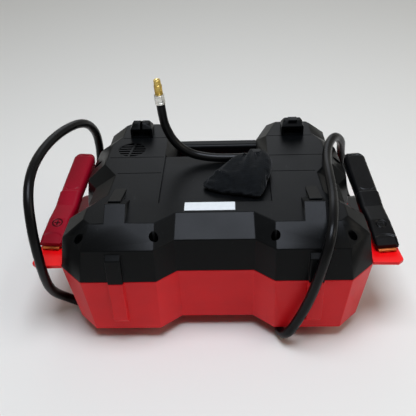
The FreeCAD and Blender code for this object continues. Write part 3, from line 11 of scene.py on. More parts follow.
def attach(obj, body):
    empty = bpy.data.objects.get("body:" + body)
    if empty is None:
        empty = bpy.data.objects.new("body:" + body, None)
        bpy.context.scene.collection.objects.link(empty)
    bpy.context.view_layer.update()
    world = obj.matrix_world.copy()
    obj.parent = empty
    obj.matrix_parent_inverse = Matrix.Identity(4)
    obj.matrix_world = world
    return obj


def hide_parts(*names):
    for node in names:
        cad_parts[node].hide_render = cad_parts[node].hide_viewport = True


# Jump starter pack lying on its control face, with both clamps parked and the air hose up.
# Lengths are metres in Blender, and millimetres where a name ends in _mm or _MM.

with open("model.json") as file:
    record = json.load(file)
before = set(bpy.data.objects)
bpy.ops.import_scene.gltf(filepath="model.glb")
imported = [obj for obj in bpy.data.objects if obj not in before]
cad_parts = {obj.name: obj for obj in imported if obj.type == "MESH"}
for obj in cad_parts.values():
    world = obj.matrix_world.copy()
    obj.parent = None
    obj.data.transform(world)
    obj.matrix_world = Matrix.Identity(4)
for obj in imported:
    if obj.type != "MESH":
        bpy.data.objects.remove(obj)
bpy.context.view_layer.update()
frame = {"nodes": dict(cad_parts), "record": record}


nodes = frame["nodes"]
MM = 0.001


def put_in_scene(name, data):
    """New object at the origin, unturned."""
    thing = bpy.data.objects.new(name, data)
    bpy.context.scene.collection.objects.link(thing)
    return thing


def colour(hex_text):
    """sRGB hex to the linear colour that the shaders take."""
    values = [int(hex_text[i : i + 2], 16) / 255 for i in (0, 2, 4)]
    linear = [v / 12.92 if v <= 0.04045 else ((v + 0.055) / 1.055) ** 2.4 for v in values]
    return (*linear, 1.0)


def add(tree, kind, inputs=None, settings=None, stops=()):
    """One shader or geometry node, with its values and links, its settings and a ramp's two stops.

    A node given as an input is linked from its first output. A stop is a place and a grey or hex.
    """
    node = tree.nodes.new(kind)
    for name, value in (settings or {}).items():
        setattr(node, name, value)
    for name, value in (inputs or {}).items():
        if isinstance(value, bpy.types.Node):
            value = value.outputs[0]
        socket = node.inputs[name]
        if isinstance(value, bpy.types.NodeSocket):
            tree.links.new(value, socket)
        else:
            socket.default_value = value
    for i, (place, shade) in enumerate(stops):
        element = node.color_ramp.elements[i]
        element.position = place
        element.color = colour(shade) if isinstance(shade, str) else (shade, shade, shade, 1.0)
    return node


def per_mm(size_mm):
    """Texture scale at which one feature is this many millimetres."""
    return 1.0 / MM / size_mm


def start_material(name):
    """New material with an empty tree, and its Object coordinates."""
    material = bpy.data.materials.new(name)
    material.use_nodes = True
    tree = material.node_tree
    tree.nodes.clear()
    place = add(tree, "ShaderNodeTexCoord").outputs["Object"]
    return material, tree, place


def finish_material(tree, shader):
    """Join a shader to the material's output."""
    add(tree, "ShaderNodeOutputMaterial", {"Surface": shader})


# Marks of use on plastic: patches of fade, long fine scuffs, and dust on what faces up.
FADE_MM = 38.0
SCUFF_MM = 3.2
SCUFF_STRETCH = (1.0, 0.16, 0.6)
SCUFF_TURN = (0.0, 0.3, 0.5)
SCUFF_TINT = "8A8C8C"
DUST_MM = 1.9
DUST_TINT = "A9A69C"
# Near-black painted shade for the grooves of sunk marks.
SUNK_MARK_SHADE_TINT = "030304"


def moulded_plastic(name, main, faded, roughness, grain_mm, grain_depth_mm, dust, scuff, ior=1.5):
    """Injection-moulded plastic: fine grain from the tool, a faint fade, scuffs and settled dust.

    A point attribute darkens the sunk marks of a piece that has it: painted shade in their grooves.
    """
    material, tree, place = start_material(name)
    cloud = add(tree, "ShaderNodeTexNoise", {"Vector": place, "Scale": per_mm(FADE_MM), "Detail": 3.0})
    fade = add(tree, "ShaderNodeValToRGB", {"Fac": cloud}, stops=((0.35, 0.0), (0.7, 1.0)))
    body = add(
        tree, "ShaderNodeMixRGB",
        {"Fac": fade, "Color1": colour(main), "Color2": colour(faded)},
    )
    drawn_out = add(
        tree, "ShaderNodeMapping",
        {"Vector": place, "Scale": SCUFF_STRETCH, "Rotation": SCUFF_TURN},
    )
    streak = add(
        tree, "ShaderNodeTexNoise",
        {"Vector": drawn_out, "Scale": per_mm(SCUFF_MM), "Detail": 6.0, "Roughness": 0.65},
    )
    scuffs = add(tree, "ShaderNodeValToRGB", {"Fac": streak}, stops=((0.64, 0.0), (0.72, scuff)))
    scuffed = add(
        tree, "ShaderNodeMixRGB",
        {"Fac": scuffs, "Color1": body, "Color2": colour(SCUFF_TINT)},
    )
    facing = add(
        tree, "ShaderNodeSeparateXYZ",
        {0: add(tree, "ShaderNodeNewGeometry").outputs["Normal"]},
    )
    upward = add(
        tree, "ShaderNodeValToRGB", {"Fac": facing.outputs["Z"]}, stops=((0.45, 0.0), (0.95, 1.0)),
    )
    speck = add(tree, "ShaderNodeTexNoise", {"Vector": place, "Scale": per_mm(DUST_MM), "Detail": 5.0})
    specks = add(tree, "ShaderNodeValToRGB", {"Fac": speck}, stops=((0.52, 0.0), (0.74, dust)))
    settled = add(tree, "ShaderNodeMath", {0: upward, 1: specks}, {"operation": "MULTIPLY"})
    dusty = add(
        tree, "ShaderNodeMixRGB",
        {"Fac": settled, "Color1": scuffed, "Color2": colour(DUST_TINT)},
    )
    # Painted shade: the sunk marks are darkened toward near black, as their grooves look when in shade.
    sunk_mark_shade = add(tree, "ShaderNodeAttribute", settings={"attribute_name": "sunk_mark_shade"})
    with_sunk_mark_shade = add(
        tree, "ShaderNodeMixRGB",
        {"Fac": sunk_mark_shade.outputs["Fac"], "Color1": dusty, "Color2": colour(SUNK_MARK_SHADE_TINT)},
    )
    rough = add(
        tree, "ShaderNodeMapRange",
        {"Value": cloud, "To Min": roughness - 0.05, "To Max": roughness + 0.09},
    )
    grain = add(tree, "ShaderNodeTexNoise", {"Vector": place, "Scale": per_mm(grain_mm), "Detail": 2.0})
    bump = add(
        tree, "ShaderNodeBump",
        {"Height": grain, "Distance": grain_depth_mm * MM, "Strength": 0.6},
    )
    shader = add(
        tree, "ShaderNodeBsdfPrincipled",
        {"Base Color": with_sunk_mark_shade, "Roughness": rough, "IOR": ior, "Normal": bump},
    )
    finish_material(tree, shader)
    return material


TARNISH_MM = 7.0
TOOL_MARK_DEPTH_MM = 0.03
LATHE_STRETCH = (1.0, 1.0, 7.0)


def bare_metal(name, base, tint, roughness, mark_mm, lathe=False):
    """Plated, cast or turned metal with fine tool marks, which a lathe leaves as rings, and tarnish."""
    material, tree, place = start_material(name)
    drawn_out = add(
        tree, "ShaderNodeMapping",
        {"Vector": place, "Scale": LATHE_STRETCH if lathe else (1.0, 1.0, 1.0)},
    )
    marks = add(
        tree, "ShaderNodeTexNoise",
        {"Vector": drawn_out, "Scale": per_mm(mark_mm), "Detail": 4.0},
    )
    cloud = add(
        tree, "ShaderNodeTexNoise",
        {"Vector": place, "Scale": per_mm(TARNISH_MM), "Detail": 4.0},
    )
    tarnish = add(tree, "ShaderNodeValToRGB", {"Fac": cloud}, stops=((0.42, 0.0), (0.68, 1.0)))
    skin = add(
        tree, "ShaderNodeMixRGB",
        {"Fac": tarnish, "Color1": colour(base), "Color2": colour(tint)},
    )
    rough = add(
        tree, "ShaderNodeMapRange",
        {"Value": marks, "To Min": roughness - 0.08, "To Max": roughness + 0.12},
    )
    bump = add(
        tree, "ShaderNodeBump",
        {"Height": marks, "Distance": TOOL_MARK_DEPTH_MM * MM, "Strength": 0.4},
    )
    shader = add(
        tree, "ShaderNodeBsdfPrincipled",
        {"Base Color": skin, "Metallic": 1.0, "Roughness": rough, "Normal": bump},
    )
    finish_material(tree, shader)
    return material


BLOOM_MM = 24.0
RUBBER_GRAIN_DEPTH_MM = 0.06


def soft_rubber(name, main, worn, roughness, grain_mm, ior=1.52):
    """Extruded or moulded rubber and soft vinyl: smooth skin, faint bloom and rubbed places."""
    material, tree, place = start_material(name)
    bloom = add(tree, "ShaderNodeTexNoise", {"Vector": place, "Scale": per_mm(BLOOM_MM), "Detail": 4.0})
    wear = add(tree, "ShaderNodeValToRGB", {"Fac": bloom}, stops=((0.4, 0.0), (0.75, 1.0)))
    skin = add(
        tree, "ShaderNodeMixRGB",
        {"Fac": wear, "Color1": colour(main), "Color2": colour(worn)},
    )
    rough = add(
        tree, "ShaderNodeMapRange",
        {"Value": bloom, "To Min": roughness - 0.06, "To Max": roughness + 0.12},
    )
    grain = add(tree, "ShaderNodeTexNoise", {"Vector": place, "Scale": per_mm(grain_mm), "Detail": 3.0})
    bump = add(
        tree, "ShaderNodeBump",
        {"Height": grain, "Distance": RUBBER_GRAIN_DEPTH_MM * MM, "Strength": 0.5},
    )
    shader = add(
        tree, "ShaderNodeBsdfPrincipled",
        {"Base Color": skin, "Roughness": rough, "IOR": ior, "Normal": bump},
    )
    finish_material(tree, shader)
    return material


# Real threads are about 1 mm apart, too fine to show, so they are drawn two to three times as coarse.
WALE_MM = 2.177
COURSE_MM = 2.771
THREAD_DEPTH_MM = 0.25
NAP_MM = 5.0
LINT_MM = 1.6
LINT_TINT = "6A6A6C"
# Width of one band of a wave texture at a scale of 1.
WAVE_BAND = 2 * math.pi / 20


def brushed_nylon(name, main, napped):
    """Napped nylon knit with a faint sheen and a little lint."""
    material, tree, place = start_material(name)
    threads = [
        add(
            tree, "ShaderNodeTexWave",
            {"Vector": place, "Scale": WAVE_BAND * per_mm(apart_mm), "Distortion": 1.2, "Detail": 2.0},
            {"bands_direction": way},
        ).outputs["Fac"]
        for way, apart_mm in (("X", WALE_MM), ("Y", COURSE_MM))
    ]
    weave = add(tree, "ShaderNodeMath", {0: threads[0], 1: threads[1]}, {"operation": "MULTIPLY"})
    nap = add(tree, "ShaderNodeTexNoise", {"Vector": place, "Scale": per_mm(NAP_MM), "Detail": 6.0})
    lifted = add(tree, "ShaderNodeValToRGB", {"Fac": nap}, stops=((0.35, 0.0), (0.75, 1.0)))
    skin = add(
        tree, "ShaderNodeMixRGB",
        {"Fac": lifted, "Color1": colour(main), "Color2": colour(napped)},
    )
    fluff = add(tree, "ShaderNodeTexNoise", {"Vector": place, "Scale": per_mm(LINT_MM), "Detail": 3.0})
    lint = add(tree, "ShaderNodeValToRGB", {"Fac": fluff}, stops=((0.72, 0.0), (0.8, 0.06)))
    linty = add(
        tree, "ShaderNodeMixRGB",
        {"Fac": lint, "Color1": skin, "Color2": colour(LINT_TINT)},
    )
    bump = add(
        tree, "ShaderNodeBump",
        {"Height": weave, "Distance": THREAD_DEPTH_MM * MM, "Strength": 0.55},
    )
    shader = add(
        tree, "ShaderNodeBsdfPrincipled",
        {"Base Color": linty, "Roughness": 0.92, "Normal": bump, "Sheen Weight": 0.1,
         "Sheen Roughness": 0.4, "Specular IOR Level": 0.15},
    )
    finish_material(tree, shader)
    return material


HAZE_MM = 9.0


def clear_lens(name, tint):
    """Polycarbonate window, slightly smoked, with a faint haze."""
    material, tree, place = start_material(name)
    haze = add(tree, "ShaderNodeTexNoise", {"Vector": place, "Scale": per_mm(HAZE_MM), "Detail": 3.0})
    rough = add(tree, "ShaderNodeMapRange", {"Value": haze, "To Min": 0.03, "To Max": 0.12})
    shader = add(
        tree, "ShaderNodeBsdfPrincipled",
        {"Base Color": colour(tint), "Roughness": rough, "IOR": 1.585, "Transmission Weight": 0.85},
    )
    finish_material(tree, shader)
    return material


MOTTLE_MM = 4.0


def bare_label(name, light, dull):
    """Matt vinyl label stock with a faint mottle and no print."""
    material, tree, place = start_material(name)
    mottle = add(tree, "ShaderNodeTexNoise", {"Vector": place, "Scale": per_mm(MOTTLE_MM), "Detail": 5.0})
    skin = add(
        tree, "ShaderNodeMixRGB",
        {"Fac": mottle, "Color1": colour(light), "Color2": colour(dull)},
    )
    shader = add(tree, "ShaderNodeBsdfPrincipled", {"Base Color": skin, "Roughness": 0.42, "IOR": 1.5})
    finish_material(tree, shader)
    return material


# One finish for each material slot of the record.
FINISHES = {
    # Black ABS from a spark-eroded tool: soft highlights that lift the facets to slate grey.
    "black_shell": moulded_plastic(
        "black ABS, fine grain", "040506", "060708", roughness=0.34,
        grain_mm=0.9, grain_depth_mm=0.03, dust=0.01, scuff=0.04, ior=1.2),
    # Black ABS, smoother, for the console, its sockets and the inner fittings: little wear.
    "black_console": moulded_plastic(
        "black ABS, satin", "08090A", "0B0C0D", roughness=0.33,
        grain_mm=1.1, grain_depth_mm=0.02, dust=0.01, scuff=0.03, ior=1.36),
    # Red ABS, satin: even colour, softer highlight, few rubs.
    "red_shell": moulded_plastic(
        "red ABS, satin", "DC0C17", "D20E18", roughness=0.42,
        grain_mm=1.0, grain_depth_mm=0.03, dust=0.01, scuff=0.03, ior=1.33),
    # Red polycarbonate tabs: glossier and brighter than the shell.
    "red_tab": moulded_plastic(
        "red polycarbonate, gloss", "F2040C", "EA050D", roughness=0.28,
        grain_mm=1.4, grain_depth_mm=0.02, dust=0.01, scuff=0.03, ior=1.42),
    # Moulded nylon grips: semi-gloss, deep crimson on one clamp and black on the other.
    "crimson_grip": moulded_plastic(
        "crimson nylon, semi-gloss", "92051F", "86051B", roughness=0.36,
        grain_mm=1.2, grain_depth_mm=0.04, dust=0.01, scuff=0.04, ior=1.24),
    "black_grip": moulded_plastic(
        "black nylon, semi-gloss", "060607", "09090B", roughness=0.29,
        grain_mm=1.2, grain_depth_mm=0.04, dust=0.01, scuff=0.03, ior=1.27),
    # Unpolished charcoal ABS of the battery's case: matt and coarse.
    "battery_grey": moulded_plastic(
        "charcoal ABS, battery case", "2A2B2D", "303133", roughness=0.5,
        grain_mm=1.4, grain_depth_mm=0.04, dust=0.02, scuff=0.02),
    # Glass epoxy under green solder mask: smooth and glossy.
    "circuit_board": moulded_plastic(
        "solder-masked glass epoxy", "0E4A28", "0C4023", roughness=0.3,
        grain_mm=1.6, grain_depth_mm=0.02, dust=0.02, scuff=0.02),
    # Display glass with nothing lit: flat grey-green with a sharp highlight.
    "display_grey": moulded_plastic(
        "display glass, unlit", "59645E", "525D57", roughness=0.2,
        grain_mm=2.0, grain_depth_mm=0.01, dust=0.02, scuff=0.02),
    # PVC jacket of the cables: smooth, with a lengthways sheen.
    "cable_jacket": soft_rubber(
        "PVC cable jacket, black", "050506", "08080A", roughness=0.26, grain_mm=1.0, ior=1.24),
    # EPDM hose: a little duller than the jacket.
    "hose_rubber": soft_rubber(
        "EPDM hose, black", "050506", "09090A", roughness=0.28, grain_mm=0.8, ior=1.28),
    # Moulded rubber glands and covers: charcoal, nearly matt.
    "black_rubber": soft_rubber(
        "moulded rubber, black", "0E0F0F", "151616", roughness=0.55, grain_mm=1.0, ior=1.36),
    # Silicone buttons: matt, in even grey and red.
    "button_grey": soft_rubber(
        "silicone rubber, grey", "4A4C4E", "54565A", roughness=0.5, grain_mm=1.0),
    "button_red": soft_rubber(
        "silicone rubber, red", "A8151A", "991419", roughness=0.48, grain_mm=1.0),
    # Zinc-plated steel screws, pins, rivets, springs and tray: pale grey with duller patches.
    "zinc_steel": bare_metal(
        "zinc-plated steel", "B9BBBD", "8F9294", roughness=0.34, mark_mm=1.2),
    # Turned brass chuck: warm, bright, with lathe lines.
    "brass": bare_metal("turned brass", "DCC070", "BFA050", roughness=0.26, mark_mm=0.8, lathe=True),
    # Copper-plated steel jaws: orange, browned in patches.
    "copper": bare_metal("copper-plated steel", "C26A3A", "8A4220", roughness=0.36, mark_mm=1.2),
    # Die-cast aluminium of the compressor: grey and grainy.
    "cast_aluminium": bare_metal(
        "die-cast aluminium", "A9ABAD", "8F9193", roughness=0.45, mark_mm=1.6),
    # Reflector metallised in a vacuum: close to a mirror.
    "bright_reflector": bare_metal(
        "vacuum-metallised reflector", "E2E3E4", "D8D9DA", roughness=0.12, mark_mm=2.0),
    # Clear polycarbonate windows: smoky, with a sharp highlight.
    "clear_lens": clear_lens("clear polycarbonate", "C9D2D4"),
    # Vinyl label stock: even off-white, matt.
    "white_label": bare_label("matt vinyl label", "DDE0DF", "CDD0CF"),
    # Brushed nylon knit: soft black that drinks the light, with its threads just showing.
    "pouch_fabric": brushed_nylon("brushed nylon knit, black", "06080A", "0C0F12"),
}
# The ferrule shares the slot of the zinc-plated steel, but its nickel is brighter, with lathe lines.
FERRULE_NICKEL = bare_metal(
    "nickel-plated ferrule", "ECEBE6", "D6D5CF", roughness=0.24, mark_mm=0.9, lathe=True)


def dress_solids():
    """Give each solid of the frame the finish of its material slot."""
    for part in frame["record"]["subparts"]:
        node = nodes[part["node"]]
        is_ferrule = part["node"] == "hose_ferrule"
        node.data.materials.clear()
        node.data.materials.append(FERRULE_NICKEL if is_ferrule else FINISHES[part["material_slot"]])


def new_piece(name, mesh, body, slot, finish=None):
    """Object at the origin that rides on a body and has a slot's finish, or one given."""
    piece = put_in_scene(name, mesh)
    mesh.materials.clear()
    mesh.materials.append(finish or FINISHES[slot])
    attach(piece, body)
    return piece


def evaluated_mesh(piece):
    """Plain mesh of an object with its modifiers applied."""
    graph = bpy.context.evaluated_depsgraph_get()
    return bpy.data.meshes.new_from_object(piece.evaluated_get(graph))


# Moulded pieces that get rounded edges: node, width of the round in millimetres, least turn in
# degrees of an edge that gets one, and slot.
MOULDINGS = (
    ("rear_shell", 0.9, 12.0, "black_shell"),
    ("front_shell", 0.9, 12.0, "red_shell"),
    ("far_hook_left", 0.8, 20.0, "black_shell"),
    ("far_hook_right", 0.8, 20.0, "black_shell"),
    ("clamp_tab_left", 0.7, 30.0, "red_tab"),
    ("clamp_tab_right", 0.7, 30.0, "red_tab"),
)
ROUND_SEGMENTS = 2
# A solid's loose triangles are joined at points this near, and are one face below this turn.
MERGE_MM = 0.01
FLAT_DEG = 0.4
# Slivers that two rounds leave where they meet are shut.
SLIVER_MM = 0.003
# An edge is shaded smooth below this turn.
SMOOTH_DEG = 25.0
# A round needs an edge this many of its widths long, and its full width needs faces as broad.
ROOM_WIDTHS = 3.5
NARROWEST_FACE_MM = 0.8
# Another edge that leaves a corner at less than this crowds the round.
CROWDED_DEG = 30.0
# A fold is a drawn triangle turned by over 60 degrees from its face, with a doubled area over this.
FOLD_COSINE = 0.5
LEAST_FOLD_MM2 = 0.6
# Tries at rounding a piece without folds, and edges left sharp for each fold of the last try.
MOST_TRIES = 7
SHARPENED_PER_FOLD = 2


def bevelled(name, shape, width_mm):
    """Mesh of a bmesh with its weighted edges rounded and its facets shaded flat."""
    mesh = bpy.data.meshes.new(name)
    shape.to_mesh(mesh)
    draft = put_in_scene(name + "_draft", mesh)
    bevel = draft.modifiers.new("rounding", "BEVEL")
    bevel.width = width_mm * MM
    bevel.segments = ROUND_SEGMENTS
    bevel.limit_method = "WEIGHT"
    bevel.use_clamp_overlap = False
    bevel.loop_slide = False
    bevel.face_strength_mode = "FSTR_NEW"
    draft.modifiers.new("shut_slivers", "WELD").merge_threshold = SLIVER_MM * MM
    even = draft.modifiers.new("even_shading", "WEIGHTED_NORMAL")
    even.keep_sharp = True
    even.use_face_influence = True
    rounded = evaluated_mesh(draft)
    bpy.data.objects.remove(draft)
    return rounded


def fold_places(mesh):
    """Middles of the drawn triangles that turn away from their own polygon."""
    mesh.calc_loop_triangles()
    places = []
    for triangle in mesh.loop_triangles:
        a, b, c = (mesh.vertices[i].co for i in triangle.vertices)
        square = (b - a).cross(c - a)
        along = mesh.polygons[triangle.polygon_index].normal
        if square.length > LEAST_FOLD_MM2 * MM**2 and square.normalized().dot(along) < FOLD_COSINE:
            places.append((a + b + c) / 3)
    return places


def edge_distance(edge, place):
    """Distance from a place to the nearest point of an edge."""
    start, end = (v.co for v in edge.verts)
    way = end - start
    t = min(1.0, max(0.0, (place - start).dot(way) / way.length_squared))
    return (start + way * t - place).length


def crowded(edge):
    """True where another edge leaves one of its ends at a narrow angle."""
    for vertex in edge.verts:
        way = edge.other_vert(vertex).co - vertex.co
        for other in vertex.link_edges:
            other_way = other.other_vert(vertex).co - vertex.co
            if other is not edge and way.angle(other_way) < math.radians(CROWDED_DEG):
                return True
    return False


def weigh_edges(shape, weight, width_mm, least_turn_deg):
    """Weight the edges to round: narrow faces get a narrower round, and crowded edges stay sharp."""
    room_mm = ROOM_WIDTHS * width_mm
    for edge in shape.edges:
        if len(edge.link_faces) != 2:
            continue
        turn = edge.calc_face_angle(0.0)
        edge.smooth = turn < math.radians(SMOOTH_DEG)
        breadth = min(2 * face.calc_area() / face.calc_perimeter() for face in edge.link_faces) / MM
        long_enough = edge.calc_length() > room_mm * MM and breadth > NARROWEST_FACE_MM
        if long_enough and turn > math.radians(least_turn_deg) and not crowded(edge):
            edge[weight] = min(1.0, breadth / room_mm)
            edge.smooth = True


def rounded_moulding(node, width_mm, least_turn_deg, slot):
    """Copy of a solid with its moulded edges rounded; it stands for the solid.

    Where the rounds fold a face, the edges nearest to the fold are left sharp.
    """
    shape = bmesh.new()
    shape.from_mesh(nodes[node].data)
    bmesh.ops.remove_doubles(shape, verts=shape.verts, dist=MERGE_MM * MM)
    bmesh.ops.dissolve_limit(
        shape, angle_limit=math.radians(FLAT_DEG), verts=shape.verts, edges=shape.edges,
    )
    weight = shape.edges.layers.float.new("bevel_weight_edge")
    weigh_edges(shape, weight, width_mm, least_turn_deg)
    for face in shape.faces:
        face.smooth = True
    for _ in range(MOST_TRIES):
        rounded = bevelled(node + "_moulding", shape, width_mm)
        folds = fold_places(rounded)
        if not folds:
            break
        round_edges = [edge for edge in shape.edges if edge[weight] > 0]
        for place in folds:
            nearest = sorted(round_edges, key=lambda edge: edge_distance(edge, place))
            for edge in nearest[:SHARPENED_PER_FOLD]:
                edge[weight] = 0.0
                edge.smooth = False
    shape.free()
    piece = new_piece(node + "_moulding", rounded, "housing", slot)
    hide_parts(node)


# Thickness of the cables and the hose.
CABLE_MM = 10.0
HOSE_MM = 9.5
# Routes of the cords, as in their solids.
LEFT_ROUTE_MM = (
    (-60.998, -71.588, 6.6),
    (-68.975, -85.5, 6.6),
    (-82.925, -95.5, 5.6),
    (-100.75, -97.0, 5.2),
    (-119.35, -90.0, 5.2),
    (-137.175, -80.0, 5.4),
    (-153.0, -74.0, 8.0),
    (-166.0, -77.0, 18.0),
    (-172.0, -88.0, 33.0),
    (-173.2, -100.5, 52.0),
    (-172.6, -109.5, 75.0),
    (-172.0, -114.5, 100.0),
    (-174.5, -109.0, 133.0),
    (-178.5, -89.0, 161.0),
    (-180.0, -54.0, 171.0),
    (-175.0, -9.0, 172.0),
    (-164.0, 33.0, 168.0),
    (-152.5, 68.0, 157.5),
    (-147.0, 92.5, 134.0),
    (-147.5, 104.0, 106.0),
    (-149.5, 105.5, 80.0),
    (-153.8, 97.0, 60.0),
    (-154.9, 82.4, 51.0),
    (-155.981, 71.497, 51.0),
)
RIGHT_ROUTE_MM = (
    (60.998, -71.588, 6.6),
    (68.0, -83.7, 6.6),
    (67.0, -102.0, 5.6),
    (62.5, -118.0, 7.0),
    (69.5, -133.5, 14.0),
    (78.5, -135.5, 32.0),
    (90.0, -137.8, 64.0),
    (98.5, -140.5, 104.0),
    (106.5, -132.0, 134.0),
    (112.0, -102.0, 143.0),
    (116.5, -66.0, 140.5),
    (117.0, -30.0, 142.0),
    (119.0, 5.0, 139.5),
    (124.5, 34.0, 140.0),
    (135.0, 58.0, 139.0),
    (146.5, 74.0, 124.0),
    (149.5, 89.0, 104.0),
    (152.5, 94.0, 80.0),
    (154.8, 87.0, 60.0),
    (155.9, 72.4, 51.0),
    (156.981, 61.497, 51.0),
)
HOSE_ROUTE_MM = (
    (37.0, 16.5, 136.0),
    (15.0, 15.6, 135.5),
    (-9.0, 16.2, 136.6),
    (-30.0, 16.9, 142.0),
    (-45.0, 17.0, 156.0),
    (-53.0, 16.9, 174.0),
    (-55.4, 16.6, 188.0),
    (-56.4, 16.5, 202.0),
)
# Cords: name, node, route, diameter, slot, far end and stiffness.
CORDS = (
    ("left_cable", "jumper_cable_left", LEFT_ROUTE_MM, CABLE_MM, "cable_jacket", "object", "limp"),
    ("right_cable", "jumper_cable_right", RIGHT_ROUTE_MM, CABLE_MM, "cable_jacket", "object", "limp"),
    ("air_hose_line", "air_hose", HOSE_ROUTE_MM, HOSE_MM, "hose_rubber", "fitting", "stiff"),
)


def route_spline(name, points_mm, diameter_mm, slot):
    """Cord on one smooth curve through its route."""
    curve = bpy.data.curves.new(name, "CURVE")
    curve.dimensions = "3D"
    spline = curve.splines.new("NURBS")
    spline.points.add(len(points_mm) - 1)
    for point, (x, y, z) in zip(spline.points, points_mm):
        point.co = (x * MM, y * MM, z * MM, 1.0)
    spline.order_u = 3
    spline.use_endpoint_u = True
    spline.resolution_u = 10
    curve.bevel_depth = diameter_mm / 2 * MM
    curve.bevel_resolution = 6
    curve.use_fill_caps = True
    curve.materials.append(FINISHES[slot])
    cord = put_in_scene(name, curve)
    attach(cord, "housing")
    return cord


def spline_length(cord):
    """Length of a cord's own line."""
    plain = cord.data.copy()
    plain.bevel_depth = 0.0
    line = put_in_scene("line", plain)
    mesh = evaluated_mesh(line)
    places = [v.co.copy() for v in mesh.vertices]
    bpy.data.objects.remove(line)
    return sum((b - a).length for a, b in zip(places, places[1:]))


def lay_cords(fittings):
    """Both jumper cables and the air hose, on the routes of their solids."""
    for name, node, points_mm, diameter_mm, slot, end, stiffness in CORDS:
        cord = route_spline(name, points_mm, diameter_mm, slot)
        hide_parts(node)
        length = spline_length(cord)


# Place in metres, then pitch, yaw and roll, fitted to the photographed edges of the housing.
CAMERA_PLACE = (0.018, -0.5988, 0.4854)
CAMERA_TURNS_DEG = (34.05, -2.71, -2.35)
CAMERA_LENS_MM = 55.4
CAMERA_SENSOR_MM = 36.0


def set_camera():
    """Camera at the photograph's place, from its height, pitch, yaw and roll."""
    pitch, yaw, roll = (math.radians(v) for v in CAMERA_TURNS_DEG)
    forward = Vector((math.sin(yaw) * math.cos(pitch), math.cos(yaw) * math.cos(pitch), -math.sin(pitch)))
    right = Vector((math.cos(yaw), -math.sin(yaw), 0.0))
    up = right.cross(forward)
    level_right = right * math.cos(roll) + up * math.sin(roll)
    level_up = up * math.cos(roll) - right * math.sin(roll)
    data = bpy.data.cameras.new("camera")
    data.lens = CAMERA_LENS_MM
    data.sensor_width = CAMERA_SENSOR_MM
    camera = put_in_scene("camera", data)
    turn = Matrix((level_right, level_up, -forward)).transposed().to_4x4()
    camera.matrix_world = Matrix.Translation(CAMERA_PLACE) @ turn
    bpy.context.scene.camera = camera


TABLE_REACH = 4.0
TABLE_TINT = "E6E3DB"
# The light of the room is darker on the camera's side; what is seen or mirrored of it is all pale.
ROOM_NEAR_TINT = "6E6D6A"
ROOM_TINT = "DEDDD6"
ROOM_STRENGTH = 0.5
# A cool panel overhead, a warm window on the right and a pale one far behind: place, target,
# size in metres, watts and tint.
LAMPS = {
    "ceiling": ((0.03, -0.28, 1.5), (0.0, 0.0, 0.0), 0.8, 22.0, "E8F0FF"),
    "window": ((1.5, -0.35, 0.9), (0.0, 0.0, 0.05), 0.8, 5.0, "FFF6E8"),
    "far_window": ((0.0, 2.3, 1.45), (0.0, 0.0, 0.05), 1.4, 6.5, "EEF4FF"),
}


def area_lamp(name, place, target, size, power, tint):
    """Square lamp that faces its target."""
    data = bpy.data.lights.new(name, "AREA")
    data.shape = "SQUARE"
    data.size = size
    data.energy = power
    data.color = colour(tint)[:3]
    lamp = put_in_scene(name, data)
    lamp.location = place
    lamp.rotation_euler = (Vector(target) - Vector(place)).to_track_quat("-Z", "Y").to_euler()


def lay_table():
    """Pale matt table that the pack lies on."""
    mesh = bpy.data.meshes.new("table_top")
    corners = [(x * TABLE_REACH, y * TABLE_REACH, 0) for x, y in ((-1, -1), (1, -1), (1, 1), (-1, 1))]
    mesh.from_pydata(corners, [], [(0, 1, 2, 3)])
    material, tree, _ = start_material("pale matt table")
    shader = add(tree, "ShaderNodeBsdfPrincipled", {"Base Color": colour(TABLE_TINT), "Roughness": 0.8})
    finish_material(tree, shader)
    mesh.materials.append(material)
    put_in_scene("table_top", mesh)


def light_room():
    """Pale room for what is seen, mirrored or seen through, a shaded one for the rest, and the lamps."""
    world = bpy.data.worlds.new("room")
    bpy.context.scene.world = world
    world.use_nodes = True
    tree = world.node_tree
    way = add(tree, "ShaderNodeSeparateXYZ", {0: add(tree, "ShaderNodeTexCoord").outputs["Generated"]})
    behind = add(
        tree, "ShaderNodeMapRange", {"Value": way.outputs["Y"], "From Min": -0.5, "From Max": 0.6},
    )
    shaded = add(
        tree, "ShaderNodeValToRGB", {"Fac": behind}, stops=((0.0, ROOM_NEAR_TINT), (1.0, ROOM_TINT)),
    )
    rays = add(tree, "ShaderNodeLightPath").outputs
    seen = rays["Is Camera Ray"]
    for kind in ("Is Transmission Ray", "Is Glossy Ray"):
        seen = add(tree, "ShaderNodeMath", {0: seen, 1: rays[kind]}, {"operation": "MAXIMUM"})
    backdrop = add(
        tree, "ShaderNodeMixRGB",
        {"Fac": seen, "Color1": shaded, "Color2": colour(ROOM_TINT)},
    )
    background = tree.nodes["Background"]
    tree.links.new(backdrop.outputs[0], background.inputs["Color"])
    background.inputs["Strength"].default_value = ROOM_STRENGTH
    for name, lamp in LAMPS.items():
        area_lamp(name, *lamp)
    bpy.context.scene.view_settings.view_transform = "Standard"


